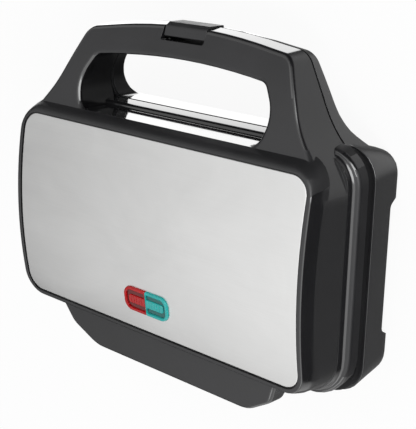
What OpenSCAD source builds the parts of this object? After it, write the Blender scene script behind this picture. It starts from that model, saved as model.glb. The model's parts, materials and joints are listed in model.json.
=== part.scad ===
// Two-slice sandwich toaster: a hinged lid over a base, a split carrying handle in front and a
// clip that holds the handle halves together.
// Each module is drawn with y = 0 under the middle of the steel panel and z = 0 on the table,
// and placed() then moves it so that the origin is the middle of the overall footprint.

/* [Housing] */
// Width across the side walls of the lid
housing_w = 243; // [200:1:300]
// From the middle of the steel panel to the front wall
housing_front = 66.8; // [56:0.2:82]
// From the middle of the steel panel to the rear wall of the lid
housing_rear = 69.2; // [58:0.2:84]
// Radius of the lid's rear corners
corner_r = 20; // [14:1:26]
// Wall thickness of the casings
wall = 2.5; // [2:0.1:3]

/* [Heights] */
// Height of the legs below the base floor, foot pads included
leg_h = 8; // [6:0.5:12]
// Height of the base from its floor to the parting plane
base_h = 25.5; // [25.5:0.5:34]
// Height of the lid from the parting plane to the crown of the panel
lid_h = 45; // [42:0.5:58]
// Radius of the front-to-rear crown of the lid
crown_r = 288.4; // [240:1:360]
// Drop from the panel to the face of the handle and of the hinge cover
face_drop = 5.8; // [5:0.1:7]
// Half of the gap between the closed halves
half_gap = 0.3; // [0.2:0.05:0.5]

/* [Lip and band] */
// How far the lid's lip stands out at the sides
lip_side = 5.5; // [4:0.1:7]
// How far the lid's lip stands out at the front
lip_front = 4.8; // [4:0.1:6]
// How far the lid's lip stands out at the rear
lip_rear = 5.8; // [4:0.1:6]
// Height of the lip
lip_h = 8; // [7:0.1:10]
// Distance from the parting plane to the lip, behind the handle
lip_gap = 2; // [1.6:0.1:3]
// Distance from the parting plane down to the top of the base wall, behind the handle
band_drop = 5; // [4:0.1:6]

/* [Panel] */
// Width of the panel frame at each side of the panel
frame_side = 6.5; // [5:0.1:9]
// Width of the panel frame in front of the panel
frame_front = 6.2; // [5:0.1:9]
// Width of the panel frame behind the panel
frame_rear = 8.6; // [6:0.1:11]
// Thickness of the steel panel
panel_t = 0.8; // [0.5:0.1:1.2]
// Corner radius of the panel
panel_corner = 11; // [6:0.5:16]
// Shadow gap around the panel
panel_gap = 0.7; // [0.4:0.1:1.2]
// How far the frame stands above the panel
rim_rise = 0.8; // [0.3:0.1:1.5]

/* [Handle] */
// Reach of the handle in front of the front wall
handle_reach = 57.9; // [50:0.5:72]
// Half width of the handle at its front corners
handle_half = 81.6; // [70:0.2:100]
// Radius of the handle's front corners
handle_corner = 12; // [8:1:16]
// Radius of the arched front edge of the handle
arch_r = 430; // [360:10:600]
// Depth of the bar that the hand holds
bar_d = 19.4; // [19:0.2:24]
// Half width of the grip opening at its widest
grip_half = 79.2; // [64:0.2:80]

/* [Hinge] */
// Reach of the hinge cover behind the rear wall
cover_reach = 26; // [24:0.5:32]
// Half width of the hinge cover at the rear wall
cover_half = 92.5; // [88:0.5:96]
// Distance of the hinge axis behind the rear wall of the lid
hinge_back = 10.8; // [10.6:0.1:12]
// Radius of the hinge knuckles
knuckle_r = 5.2; // [4.6:0.1:5.6]
// Length of one hinge knuckle
knuckle_w = 8; // [6:0.5:12]
// Radius of the hinge pins
pin_r = 2; // [1.5:0.1:2.4]
// Radial running clearance of pins in their bores
pin_fit = 0.06; // [0.03:0.01:0.1]
// Distance of the inner knuckles from the middle
knuckle_x = 57.5; // [44:0.5:66]

/* [Plates] */
// Depth of a sandwich pocket in one plate
pocket_d = 9.5; // [7:0.1:9.5]
// Wall thickness of the plates
plate_t = 2.2; // [2:0.1:2.5]
// Distance from the lid's side wall to the edge of the plate
plate_side = 12; // [11:0.5:16]
// Distance from the front and rear walls to the edge of the plate
plate_end = 8; // [7.5:0.1:12]
// Radius of the tubular heating elements
element_r = 3; // [2.5:0.1:3.2]

/* [Indicator] */
// Width of the indicator capsule
lens_w = 37; // [30:0.5:44.5]
// Depth of the indicator capsule
lens_d = 16; // [12:0.5:18]
// Distance of the capsule behind the middle of the panel
lens_y = 40; // [30:0.5:42]

/* [Clip] */
// Width of the latch clip
clip_w = 33; // [26:0.5:40]
// Depth of the clip's face on the front of the handle
clip_face = 8.2; // [7:0.1:9]
// How far the clip hooks over the base half of the handle
clip_reach = 4; // [3.5:0.1:5]

/* [Hidden] */

$fn = 48;
roll_fn = 720;
arc_step = 9;
clear = 0.3;
over = 1;

// Plan limits
hx = housing_w / 2;
front_y = -housing_front;
rear_y = housing_rear;
mid_y = (front_y + rear_y) / 2;
lip_x = hx + lip_side;
lip_y0 = front_y - lip_front;
lip_y1 = rear_y + lip_rear;
base_inset = 0.5;
base_x = lip_x - base_inset;
base_y0 = lip_y0 + base_inset;
base_y1 = lip_y1 + base_inset;
band_inset = 1.2;
handle_y = front_y - handle_reach;
cover_y = rear_y + cover_reach;
lid_seam = lip_y0 + wall + clear;
base_seam = base_y0 + wall + clear;
clip_proud = 0.5;
clip_y = handle_y - clip_proud;
shift_y = -(clip_y + cover_y) / 2;

// Heights
floor_z = leg_h;
inner_z = floor_z + wall;
part_z = leg_h + base_h;
lid_z = part_z + half_gap;
base_z = part_z - half_gap;
band_z = part_z - band_drop;
lip_z0 = part_z + lip_gap;
lip_z1 = lip_z0 + lip_h;
crown_z = part_z + lid_h;
roll_z = crown_z - crown_r;
face_r = crown_r - face_drop;
seat_film = 0.1;
seat_r = crown_r - panel_t - seat_film;
top_h = lid_h + over;

// Panel and frame
panel_x = hx - frame_side;
panel_y0 = front_y + frame_front;
panel_y1 = rear_y - frame_rear;
frame_out = 3.5;

// Plates, seen from the parting plane downwards
plate_x = hx - plate_side;
plate_y = (rear_y - front_y) / 2 - plate_end;
flange_t = 2.7;
flange_side = 8.3;
flange_end = 7;
tub_x = plate_x - flange_side;
tub_y = plate_y - flange_end;
web_x = 4;
plate_back = half_gap + pocket_d + plate_t;
ledge_top = half_gap + flange_t;
ledge_t = 2.7;
ridge_drop = 2.6;
element_y = tub_y / 2;
element_depth = plate_back + element_r + 0.1;
clamp_x = 42;
clamp_t = 1;
clamp_depth = element_depth + element_r + 0.1;
shield_depth = clamp_depth + clamp_t + 2.2;
shield_t = 0.6;
shield_x = tub_x + 1.9;
shield_y = tub_y + 1.9;
element_end = tub_x - 20;

// Screws
screw_r = 1.75;
screw_hole = screw_r + 0.1;
head_r = 3.3;
head_h = 2;
plate_screw = [plate_x - 2.8, plate_y * 0.75];
case_screw = [hx - 6.5, 30];

// Hinge
hinge_y = rear_y + hinge_back;
hinge_z = part_z;
knuckle_gap = 0.4;
cover_z = lip_z1;

// Clip
clip_x = clip_w / 2;
notch_x = clip_x + 0.7;
notch_wall = 2.5;
notch_y = clip_y + clip_face + 2;
clip_t = 2.6;
clip_pin_r = 1.25;
clip_pin_y = handle_y + 4.6;
clip_pin_z = part_z + 5.5;
hook_lap = 1.3;
catch_y = clip_y + clip_t + clear;
catch_t = 2;
hook_gap = 0.55;
cradle_r = 3;

// Legs and feet
leg_x = 22;
leg_front = 34;
leg_rear = 32;
pad_z = 1.2;
pad_t = 2.8;
pad_x = 12;
pad_y = 18;

// ---- Outlines -------------------------------------------------------------------------------

function unit(v) = v / norm(v);
function flat(p) = [p[0], p[1]];

// Arc that rounds the corner at b, between a and c, to the radius b[2]
function corner(a, b, c) = let (
        u = unit(flat(a) - flat(b)),
        v = unit(flat(c) - flat(b)),
        half = acos(u * v) / 2,
        m = flat(b) + unit(u + v) * b[2] / sin(half),
        s = flat(b) + u * b[2] / tan(half) - m,
        e = flat(b) + v * b[2] / tan(half) - m,
        start = atan2(s[1], s[0]),
        raw = atan2(e[1], e[0]) - start,
        turn = raw > 180 ? raw - 360 : raw < -180 ? raw + 360 : raw,
        n = ceil(abs(turn) / arc_step))
    [for (i = [0:n]) m + b[2] * [cos(start + turn * i / n), sin(start + turn * i / n)]];

// Closed outline of [x, y, radius] corners, anticlockwise, as plain points
function rounded(pts) = [for (i = [0:len(pts) - 1])
    each pts[i][2] > 0
        ? corner(pts[(i + len(pts) - 1) % len(pts)], pts[i], pts[(i + 1) % len(pts)])
        : [flat(pts[i])]];

// The same outline moved inwards by t
function inset(pts, t) = [for (i = [0:len(pts) - 1])
    let (
        a = flat(pts[(i + len(pts) - 1) % len(pts)]),
        b = flat(pts[i]),
        c = flat(pts[(i + 1) % len(pts)]),
        d = unit(b - a),
        e = unit(c - b),
        n = [d[1], -d[0]],
        m = [e[1], -e[0]],
        q = b - t * (n + m) / (1 + n * m),
        bulges = d[0] * e[1] - d[1] * e[0] > 0,
        r = pts[i][2])
    [q[0], q[1], r == 0 ? 0 : bulges ? max(r - t, 0.4) : max(r + t, 0.4)]];

// Completes an outline from its +X half, which runs from front to rear
function both_sides(half) = concat(half,
    [for (i = [len(half) - 1:-1:0]) [-half[i][0], half[i][1], half[i][2]]]);

function box_outline(x, y0, y1, r0, r1) = both_sides([[x, y0, r0], [x, y1, r1]]);

// Front edge of the handle, from the middle outwards
function arch(x, y, r) = y + x * x / (2 * r);
arch_steps = 6;
waist = [hx - 22.4, front_y - 14, 70];
shoulder = [hx + 0.5, front_y + 12.5, 30];
cover_corner = [cover_half - 15.2, cover_y, 8];
handle_half_outline = concat(
    [for (i = [0.5:arch_steps]) let (x = (handle_half - 9) * i / arch_steps)
        [x, arch(x, handle_y, arch_r), 0]],
    [[handle_half, arch(handle_half, handle_y, arch_r) - 0.6, handle_corner], waist, shoulder]);
cover_half_outline = [
    [cover_half, rear_y, 0],
    [cover_half - 0.2, cover_y - 15.7, 10],
    cover_corner];
lid_outline = both_sides(concat(handle_half_outline, [[hx, rear_y, corner_r]], cover_half_outline));

grip_r = 515;
grip_top = handle_y + bar_d;
grip_half_outline = concat(
    [for (i = [0.5:5]) let (x = (grip_half - 16) * i / 5) [x, arch(x, grip_top, grip_r), 0]],
    [[grip_half - 10.5, arch(grip_half - 10.5, grip_top, grip_r), 7],
     [grip_half, front_y - 17, 22],
     [grip_half - 7, front_y, 9]]);
grip_outline = both_sides(grip_half_outline);

lip_outline = box_outline(lip_x, lip_y0, lip_y1, 20, 27);
base_outline = box_outline(base_x, base_y0, base_y1, 21, 19);
frame_outline = box_outline(panel_x + frame_out, panel_y0 - frame_out, panel_y1 + frame_out,
    panel_corner + frame_out, panel_corner + frame_out);
panel_outline = box_outline(panel_x, panel_y0, panel_y1, panel_corner, panel_corner);

module plan(outline, t = 0) polygon(rounded(inset(outline, t)));

module behind(y) translate([-hx * 2, y]) square([hx * 4, cover_y - y + over]);
module ahead(y) translate([-hx * 2, handle_y - over]) square([hx * 4, y - handle_y + over]);

module prism(z0, z1) translate([0, 0, z0]) linear_extrude(z1 - z0) children();

// ---- Shared solids --------------------------------------------------------------------------

module placed() translate([0, shift_y, 0]) children();

// Everything under the crowned surface of radius r
module under_roll(r) {
    intersection() {
        translate([-hx * 2, 0, roll_z]) rotate([0, 90, 0]) cylinder(r = r, h = hx * 4, $fn = roll_fn);
        children();
    }
}

// Moves a solid drawn at a point of the panel's surface, with z = 0 on the surface
module on_panel(y) {
    tilt = asin(y / crown_r);
    translate([0, crown_r * sin(tilt), roll_z + crown_r * cos(tilt)]) rotate([-tilt, 0, 0]) children();
}

// Draws in depth below the parting plane, as in the base, or above it, as in the lid
module below_parting() translate([0, mid_y, part_z]) mirror([0, 0, 1]) children();
module above_parting() translate([0, mid_y, part_z]) children();

module mirrored_x() {
    children();
    mirror([1, 0, 0]) children();
}

// The grip opening as far back as y
module grip_opening(y) prism(0, crown_z) intersection() {
    plan(grip_outline);
    ahead(y);
}

module along_x(x0, x1, y, z, r) translate([x0, y, z]) rotate([0, 90, 0]) cylinder(r = r, h = x1 - x0);

module box(x0, x1, y0, y1, z0, z1) translate([x0, y0, z0]) cube([x1 - x0, y1 - y0, z1 - z0]);

// Screw with its head at z = 0 and its shank upwards
module screw(length) {
    translate([0, 0, -head_h / 2]) cylinder(r = screw_r, h = length + head_h / 2);
    translate([0, 0, -head_h]) difference() {
        cylinder(r = head_r, h = head_h);
        translate([0, 0, -over]) linear_extrude(over + 1) square([0.8, 4], center = true);
        translate([0, 0, -over]) linear_extrude(over + 1) square([4, 0.8], center = true);
    }
}

module wire(points, r) {
    for (i = [0:len(points) - 2]) {
        leg = points[i + 1] - points[i];
        translate(points[i])
            rotate([0, acos(leg[2] / norm(leg)), atan2(leg[1], leg[0])])
                cylinder(r = r, h = norm(leg), $fn = 16);
        if (i > 0) translate(points[i]) sphere(r = r, $fn = 16);
    }
}

// ---- Lid ------------------------------------------------------------------------------------

module lid_body() {
    under_roll(face_r) prism(part_z + half_gap, part_z + top_h) plan(lid_outline);
    under_roll(crown_r + rim_rise) prism(lip_z1, part_z + top_h) plan(frame_outline);
    prism(lid_z, lip_z1) plan(lip_outline);
}

module lid_hollow_plan() {
    difference() {
        plan(lid_outline, wall);
        plan(grip_outline, -wall);
        translate([-cover_half, rear_y - wall]) square([cover_half * 2, wall]);
    }
}

module lid_hollow() {
    under_roll(face_r - wall) prism(part_z - over, part_z + top_h) lid_hollow_plan();
    under_roll(seat_r - wall) prism(part_z - over, part_z + top_h)
        plan(frame_outline, frame_out + wall);
    prism(part_z - over, lip_z1 - wall) plan(lip_outline, wall);
}

// Blocks in the handle that the clip's recess is cut from, and the bosses for the case screws
module lid_blocks() {
    intersection() {
        lid_body();
        union() {
            box(-notch_x - notch_wall, notch_x + notch_wall, handle_y - over, notch_y + notch_wall,
                lid_z, crown_z);
            mirrored_x() for (side = [-1, 1])
                translate([case_screw[0], mid_y + side * case_screw[1], part_z + ledge_top + ledge_t])
                    cylinder(r = 4, h = lid_h);
        }
    }
}

module lid_knuckle_profile() {
    difference() {
        union() {
            translate([hinge_y, hinge_z]) circle(knuckle_r);
            polygon([[lip_y1 - wall, lip_z0 + 0.5], [hinge_y - 4.2, hinge_z + 2.4],
                [hinge_y + 2.5, hinge_z + 4.4], [lip_y1, lip_z1 + 4], [rear_y - wall, lip_z1 + 4],
                [rear_y - wall, lip_z1 - wall], [lip_y1 - wall, lip_z1 - wall]]);
        }
        translate([hinge_y, hinge_z]) circle(pin_r + pin_fit);
    }
}

// Turns a Y-Z profile into a slab from x0 to x1
module slab(x0, x1) translate([x0, 0, 0]) rotate([90, 0, 90]) linear_extrude(x1 - x0) children();

module lid_knuckles() mirrored_x() slab(knuckle_x, knuckle_x + knuckle_w) lid_knuckle_profile();

module lid_shell() placed() color("#2f2f31") {
    difference() {
        union() {
            difference() {
                lid_body();
                lid_hollow();
            }
            lid_blocks();
            lid_knuckles();
        }
        // Grip opening, with the lip left standing along its rear edge
        grip_opening(lip_y0);
        prism(lip_z1, crown_z) plan(grip_outline);
        // Underside behind the handle, lifted to the lip
        prism(0, lip_z0) behind(lid_seam - clear);
        // Open underside of the hinge cover
        prism(0, cover_z) intersection() {
            behind(lip_y1);
            difference() {
                plan(lid_outline, -over);
                plan(lip_outline);
                mirrored_x() translate([knuckle_x, rear_y]) square([knuckle_w, cover_reach]);
            }
        }
        // Seat of the steel panel
        difference() {
            prism(part_z, crown_z + over) plan(panel_outline, -panel_gap);
            under_roll(seat_r) prism(part_z - over, crown_z + over * 2) plan(panel_outline, -over * 2);
        }
        // Window under the lenses and slots for the panel's tabs
        on_panel(lens_y) prism(-8, 1) plan(lens_outline, -lens_flange - clear);
        panel_tabs(clear);
        // Recess of the clip with the bore of its pin
        box(-notch_x, notch_x, handle_y - over * 2, notch_y, 0, crown_z);
        along_x(-notch_x - 2, notch_x + 2, clip_pin_y, clip_pin_z, clip_pin_r + pin_fit);
        // Room for the base's knuckles
        mirrored_x() along_x(knuckle_x + knuckle_w, knuckle_x + knuckle_w * 2 + knuckle_gap * 3,
            hinge_y, hinge_z, knuckle_r + 1);
        // Case screw holes
        mirrored_x() for (side = [-1, 1])
            translate([case_screw[0], mid_y + side * case_screw[1], part_z]) cylinder(r = screw_hole, h = 20);
    }
}

// ---- Panel and indicator --------------------------------------------------------------------

tab_w = 10;
tab_d = 5;

module panel_tabs(gap) {
    mirrored_x() for (y = [panel_y0 + 4, panel_y1 - 4 - panel_t])
        box(panel_x / 2 - gap, panel_x / 2 + tab_w + gap, y - gap, y + panel_t + gap,
            crown_z - crown_sag(y) - tab_d - gap, crown_z - crown_sag(y) - panel_t / 2);
}

function crown_sag(y) = crown_r - sqrt(crown_r * crown_r - y * y);

module steel_panel() placed() color("#c9c9c8") {
    difference() {
        union() {
            difference() {
                under_roll(crown_r) prism(part_z, crown_z + over) plan(panel_outline);
                under_roll(seat_r) prism(part_z - over, crown_z + over * 2) plan(panel_outline, -over);
            }
            panel_tabs(0);
        }
        on_panel(lens_y) prism(-6, 6) plan(lens_outline, -0.15);
    }
}

lens_flange = 1.2;
lens_rise = 1.4;
lens_split = 0.15;
lens_r = 6;
lens_outline = box_outline(lens_w / 2, -lens_d / 2, lens_d / 2, lens_r, lens_r);
lens_rim = 2.2;

// Right half of the capsule: a rim that stands above the panel round a sunk window, and a flange under it
module lens() {
    intersection() {
        difference() {
            union() {
                prism(-panel_t - 0.3, lens_rise) plan(lens_outline);
                prism(-panel_t - 1.8, -panel_t - 0.2) plan(lens_outline, -lens_flange);
            }
            prism(lens_rise - 0.9, lens_rise + over)
                polygon(rounded([[lens_rim, -lens_d / 2 + lens_rim, 1.5],
                    [lens_w / 2 - lens_rim, -lens_d / 2 + lens_rim, lens_r - lens_rim],
                    [lens_w / 2 - lens_rim, lens_d / 2 - lens_rim, lens_r - lens_rim],
                    [lens_rim, lens_d / 2 - lens_rim, 1.5]]));
        }
        box(lens_split, lens_w, -lens_d, lens_d, -10, 10);
    }
}

module red_lens() placed() color("#a5121a") on_panel(lens_y) lens();
module green_lens() placed() color("#17a79b") on_panel(lens_y) mirror([1, 0, 0]) lens();

holder_top = -panel_t - 1.9;
holder_ear = -panel_t - wall - clear;
holder_bottom = -12;

module lamp_holder() placed() color("#e6e2d6") on_panel(lens_y) {
    difference() {
        union() {
            prism(holder_bottom, holder_top) plan(lens_outline);
            prism(holder_ear - 2, holder_ear)
                plan(box_outline(lens_w / 2 + 9, -lens_d / 2 - 2, lens_d / 2 + 2, 3, 3));
        }
        mirrored_x() prism(holder_bottom + 1.5, holder_top + over)
            polygon(rounded([[0.8, -lens_d / 2 + 1.5, 1],
                [lens_w / 2 - 1.5, -lens_d / 2 + 1.5, lens_r - 1.5],
                [lens_w / 2 - 1.5, lens_d / 2 - 1.5, lens_r - 1.5],
                [0.8, lens_d / 2 - 1.5, 1]]));
        mirrored_x() translate([lens_w / 2 + 5, 0, holder_ear - 3]) cylinder(r = 1.6, h = 5);
    }
}

module neon_lamps() placed() color("#f2b37a") on_panel(lens_y) mirrored_x() {
    translate([4.5, 0, -7.4]) rotate([0, 90, 0]) cylinder(r = 2.8, h = 8.5);
    translate([13, 0, -7.4]) sphere(r = 2.8);
}

// ---- Surrounds that carry the plates --------------------------------------------------------

// Openings of a surround: the seat of the plate's flange and the hole round its tubs
module plate_openings() {
    translate([0, 0, half_gap - over]) linear_extrude(flange_t + over)
        plan(box_outline(plate_x + clear, -plate_y - clear, plate_y + clear, 8, 8));
    linear_extrude(60) plan(box_outline(tub_x + 1.2, -tub_y - 1.2, tub_y + 1.2, 8, 8));
    mirrored_x() for (side = [-1, 1]) {
        translate([plate_screw[0], side * plate_screw[1], 0]) cylinder(r = screw_hole, h = 20);
        translate([case_screw[0], side * case_screw[1], 0]) cylinder(r = screw_hole, h = 20);
    }
}

// Flat liner that closes the handle's hollow
module handle_liner() {
    intersection() {
        difference() {
            plan(lid_outline, wall + clear);
            plan(grip_outline, -wall - clear);
            translate([-notch_x - notch_wall - clear, handle_y])
                square([(notch_x + notch_wall + clear) * 2, notch_y + notch_wall + clear - handle_y]);
        }
        ahead(base_seam + 1);
    }
}

module lid_surround() placed() color("#232325") {
    difference() {
        union() {
            prism(lid_z, lip_z0) intersection() {
                plan(lip_outline, 1.5);
                behind(lid_seam);
            }
            prism(lid_z, part_z + ledge_top + ledge_t) plan(lip_outline, wall + clear);
            prism(lid_z + clear, lid_z + clear + 2) handle_liner();
        }
        above_parting() plate_openings();
        mirrored_x() for (side = [-1, 1])
            translate([case_screw[0], mid_y + side * case_screw[1], part_z - over])
                cylinder(r = head_r + clear, h = over + half_gap + head_h + 0.2);
        hinge_room();
    }
}

// Room round all the knuckles at the rear edge of a surround
module hinge_room() mirrored_x()
    along_x(knuckle_x - 1, knuckle_x + knuckle_w * 2 + knuckle_gap + 1, hinge_y, hinge_z, knuckle_r + 0.6);

module base_surround() placed() color("#161617") {
    difference() {
        union() {
            prism(band_z, base_z) intersection() {
                plan(base_outline, band_inset);
                behind(base_seam);
            }
            prism(part_z - ledge_top - ledge_t, base_z) intersection() {
                plan(base_outline, wall + clear);
                behind(base_seam);
            }
            prism(base_z - clear - 2, base_z - clear) handle_liner();
        }
        below_parting() plate_openings();
        hinge_room();
    }
}

module case_screws_at(z) mirrored_x() for (side = [-1, 1])
    translate([case_screw[0], mid_y + side * case_screw[1], z]) children();

module lid_screws() placed() color("#b9b9b6")
    case_screws_at(part_z + half_gap + head_h + 0.2) screw(12);

base_screw_z = inner_z + 6;
module base_screws() placed() color("#b9b9b6")
    case_screws_at(base_screw_z) screw(part_z - half_gap - 1.5 - base_screw_z);

// ---- Plates and heating ---------------------------------------------------------------------

// One cooking plate in depth below the parting plane: a flange, two tubs and their pockets,
// each pocket crossed by a ridge that parts the sandwich into triangles
module plate() {
    difference() {
        union() {
            translate([0, 0, half_gap]) linear_extrude(flange_t)
                plan(box_outline(plate_x, -plate_y, plate_y, 7.7, 7.7));
            translate([0, 0, half_gap]) linear_extrude(pocket_d + plate_t)
                plan(box_outline(tub_x, -tub_y, tub_y, 7, 7));
            mirrored_x() translate([clamp_x, 0, 0]) cylinder(r = 3.6, h = clamp_depth);
        }
        mirrored_x() difference() {
            translate([0, 0, half_gap - over]) linear_extrude(pocket_d + over)
                polygon(rounded([[web_x, -tub_y + plate_t, 6], [tub_x - plate_t, -tub_y + plate_t, 6],
                    [tub_x - plate_t, tub_y - plate_t, 6], [web_x, tub_y - plate_t, 6]]));
            pocket_ridge();
        }
        mirrored_x() {
            for (side = [-1, 1])
                translate([plate_screw[0], side * plate_screw[1], half_gap + 0.9])
                    cylinder(r = screw_hole, h = 10);
            translate([clamp_x, 0, plate_back - 0.4]) cylinder(r = screw_hole, h = 20);
        }
    }
}

ridge_top = 2.4;
ridge_foot = 9;

// Ridge from the inner front corner of a pocket to its outer rear corner
module pocket_ridge() {
    run = [tub_x - plate_t - web_x, 2 * (tub_y - plate_t)];
    translate([web_x, -tub_y + plate_t, 0]) rotate([0, 0, atan2(run[1], run[0])])
        translate([-10, 0, 0]) rotate([90, 0, 90]) linear_extrude(norm(run) + 20)
            polygon([[-ridge_top / 2, half_gap + ridge_drop], [ridge_top / 2, half_gap + ridge_drop],
                [ridge_foot / 2, half_gap + pocket_d + 0.5], [-ridge_foot / 2, half_gap + pocket_d + 0.5]]);
}

module upper_plate() placed() color("#3a3a3c") above_parting() plate();
module lower_plate() placed() color("#3a3a3c") below_parting() plate();

bend_x = tub_x - 14 - element_y;
pin_len = 9;

// Hairpin tube that lies on the backs of the tubs, with a contact pin at each end
module element() translate([0, 0, element_depth]) {
    for (side = [-1, 1]) {
        along_x(-bend_x, element_end, side * element_y, 0, element_r);
        along_x(element_end, element_end + 2, side * element_y, 0, element_r - 0.8);
        along_x(element_end + 2, element_end + pin_len, side * element_y, 0, 1.2);
    }
    translate([-bend_x, 0, 0]) rotate([0, 0, 90]) rotate_extrude(angle = 180)
        translate([element_y, 0]) circle(element_r);
}

module upper_element() placed() color("#8d8880") above_parting() element();
module lower_element() placed() color("#8d8880") below_parting() element();

clamp_half = element_y + 6;

// Two sprung strips across the runs of the tube
module clamps() mirrored_x() translate([clamp_x, 0, clamp_depth]) difference() {
    linear_extrude(clamp_t) plan(box_outline(7, -clamp_half, clamp_half, 3, 3));
    translate([0, 0, -over]) cylinder(r = screw_hole, h = 4);
}

module upper_clamp() placed() color("#c2c2bf") above_parting() clamps();
module lower_clamp() placed() color("#c2c2bf") below_parting() clamps();

// Plate screws through the ledge of the surround, and clamp screws into the plate
module heating_screws() mirrored_x() {
    for (side = [-1, 1])
        translate([plate_screw[0], side * plate_screw[1], ledge_top + ledge_t]) mirror([0, 0, 1])
            screw(ledge_t + flange_t - 1);
    translate([clamp_x, 0, clamp_depth + clamp_t]) mirror([0, 0, 1]) screw(clamp_t + 6);
}

module upper_screws() placed() color("#b9b9b6") above_parting() heating_screws();
module lower_screws() placed() color("#b9b9b6") below_parting() heating_screws();

// Sheet shield with a turned edge that stands on the ledge's back
module shield() {
    difference() {
        translate([0, 0, ledge_top + ledge_t]) linear_extrude(shield_depth + shield_t - ledge_top - ledge_t)
            plan(box_outline(shield_x, -shield_y, shield_y, 8, 8));
        translate([0, 0, ledge_top + ledge_t - over])
            linear_extrude(shield_depth - ledge_top - ledge_t + over)
                plan(box_outline(shield_x - shield_t, -shield_y + shield_t, shield_y - shield_t, 7.4, 7.4));
        for (side = [-1, 1]) box(tub_x - 2, tub_x + 5, side * element_y - 4, side * element_y + 4,
            element_depth - 4, element_depth + 4);
    }
}

module upper_shield() placed() color("#aeb1b3") above_parting() shield();
module lower_shield() placed() color("#aeb1b3") below_parting() shield();

// ---- Controls and wiring --------------------------------------------------------------------

thermostat_x = 20;
thermostat_r = 7.5;

module thermostat() placed() color("#d9d2bd") below_parting() translate([thermostat_x, 0, plate_back + 0.1]) {
    cylinder(r = thermostat_r, h = 2);
    translate([0, 0, 2]) cylinder(r = thermostat_r - 1, h = 4.5);
    for (side = [-1, 1])
        box(side * 3 - 1.6, side * 3 + 1.6, -thermostat_r - 5, -thermostat_r + 3, 4.9, 5.7);
}

fuse_x = -20;

module thermal_fuse() placed() color("#e8e6de") below_parting() translate([fuse_x, 0, plate_back + 2.1]) {
    translate([0, -6, 0]) rotate([-90, 0, 0]) cylinder(r = 2, h = 12);
    translate([0, -14, 0]) rotate([-90, 0, 0]) cylinder(r = 0.6, h = 28);
}

block_x0 = tub_x + 7;
block_x1 = base_x - wall - 3.5;
block_y = 24;
block_h = 12;

// Three-way terminal block on the base floor
module terminal_block() placed() color("#efece2") difference() {
    box(block_x0, block_x1, mid_y - block_y / 2, mid_y + block_y / 2, inner_z, inner_z + block_h);
    for (i = [-1:1]) translate([(block_x0 + block_x1) / 2, mid_y + i * block_y / 3, inner_z + 4])
        cylinder(r = 2.2, h = block_h);
}

lead_r = 1.1;
lead_z = part_z - element_depth;
lead_x = block_x0 - lead_r - 1.3;

// Leads from the contact pins of the lower element to the terminal block
module base_leads() placed() color("#d8d4c8") for (side = [-1, 1])
    wire([[element_end + pin_len + 0.1, mid_y + side * element_y, lead_z],
        [lead_x, mid_y + side * element_y, lead_z],
        [lead_x, mid_y + side * block_y / 3, lead_z],
        [block_x0 - 0.1, mid_y + side * block_y / 3, lead_z]], lead_r);

lid_lead_z = part_z + element_depth;

// Leads from the contact pins of the upper element along the lid's side
module lid_leads() placed() color("#d8d4c8") for (side = [-1, 1])
    wire([[element_end + pin_len + 0.1, mid_y + side * element_y, lid_lead_z],
        [tub_x + 6 - side * 1.5, mid_y + side * element_y, lid_lead_z],
        [tub_x + 6 - side * 1.5, mid_y + tub_y + 2, lid_lead_z]], lead_r);

gland_x = 99;
gland_z = floor_z + 10;
gland_r = 5;
cord_r = 3.4;

// Bush that lines the mains inlet in the rear wall
module cord_gland() placed() color("#1c1c1e") translate([gland_x, base_y1, gland_z]) rotate([-90, 0, 0])
    difference() {
        union() {
            translate([0, 0, -wall - 2]) cylinder(r = gland_r, h = wall + 4);
            cylinder(r = gland_r + 2, h = 2);
            translate([0, 0, -wall - 2]) cylinder(r = gland_r + 1.5, h = 1.9);
        }
        translate([0, 0, -20]) cylinder(r = cord_r, h = 40);
    }

// ---- Base -----------------------------------------------------------------------------------

// Y-Z profile under the base half of the handle
handle_under = [[handle_y - 6, base_z, 0], [handle_y - 6, part_z - 10, 0],
    [front_y - 25, part_z - 12.5, 30], [front_y - 7, part_z - 17.5, 14], [front_y + 4, floor_z, 5],
    [front_y + 14, floor_z, 0], [front_y + 14, base_z, 0]];

module base_body() {
    prism(floor_z, band_z) plan(base_outline);
    prism(floor_z, base_z) intersection() {
        plan(base_outline);
        ahead(base_seam - clear);
    }
    intersection() {
        prism(floor_z, base_z) intersection() {
            plan(lid_outline);
            ahead(base_seam - clear);
        }
        slab(-hx * 2, hx * 2) polygon(rounded(handle_under));
    }
}

module leg_plan(t) {
    intersection() {
        plan(base_outline, t);
        mirrored_x() {
            translate([base_x - leg_x + t, base_y0]) square([leg_x, leg_front - t]);
            translate([base_x - leg_x + t, base_y1 - leg_rear + t]) square([leg_x, leg_rear]);
        }
    }
}

handle_floor = part_z - 10 + wall;

module base_hollow() {
    prism(inner_z, part_z + over) plan(base_outline, wall);
    prism(pad_z + wall, inner_z + over) leg_plan(wall);
    prism(handle_floor, part_z + over) intersection() {
        difference() {
            plan(lid_outline, wall);
            plan(grip_outline, -wall);
        }
        ahead(front_y);
    }
}

vent_l = 44;
vent_w = 4;
vent_pitch = 11;

module floor_vents() mirrored_x() for (i = [-2:2])
    translate([tub_x / 2 - vent_l / 2, mid_y + i * vent_pitch - vent_w / 2, 0])
        cube([vent_l, vent_w, inner_z + over]);

module base_knuckle_profile() {
    difference() {
        union() {
            translate([hinge_y, hinge_z]) circle(knuckle_r);
            polygon([[base_y1 - wall, floor_z + 6], [base_y1, floor_z + 6],
                [hinge_y + knuckle_r, hinge_z - 2], [hinge_y + knuckle_r - 0.5, hinge_z],
                [hinge_y - knuckle_r + 0.9, hinge_z], [base_y1, band_z], [base_y1 - wall, band_z]]);
        }
        translate([hinge_y, hinge_z]) circle(pin_r + pin_fit);
    }
}

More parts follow.
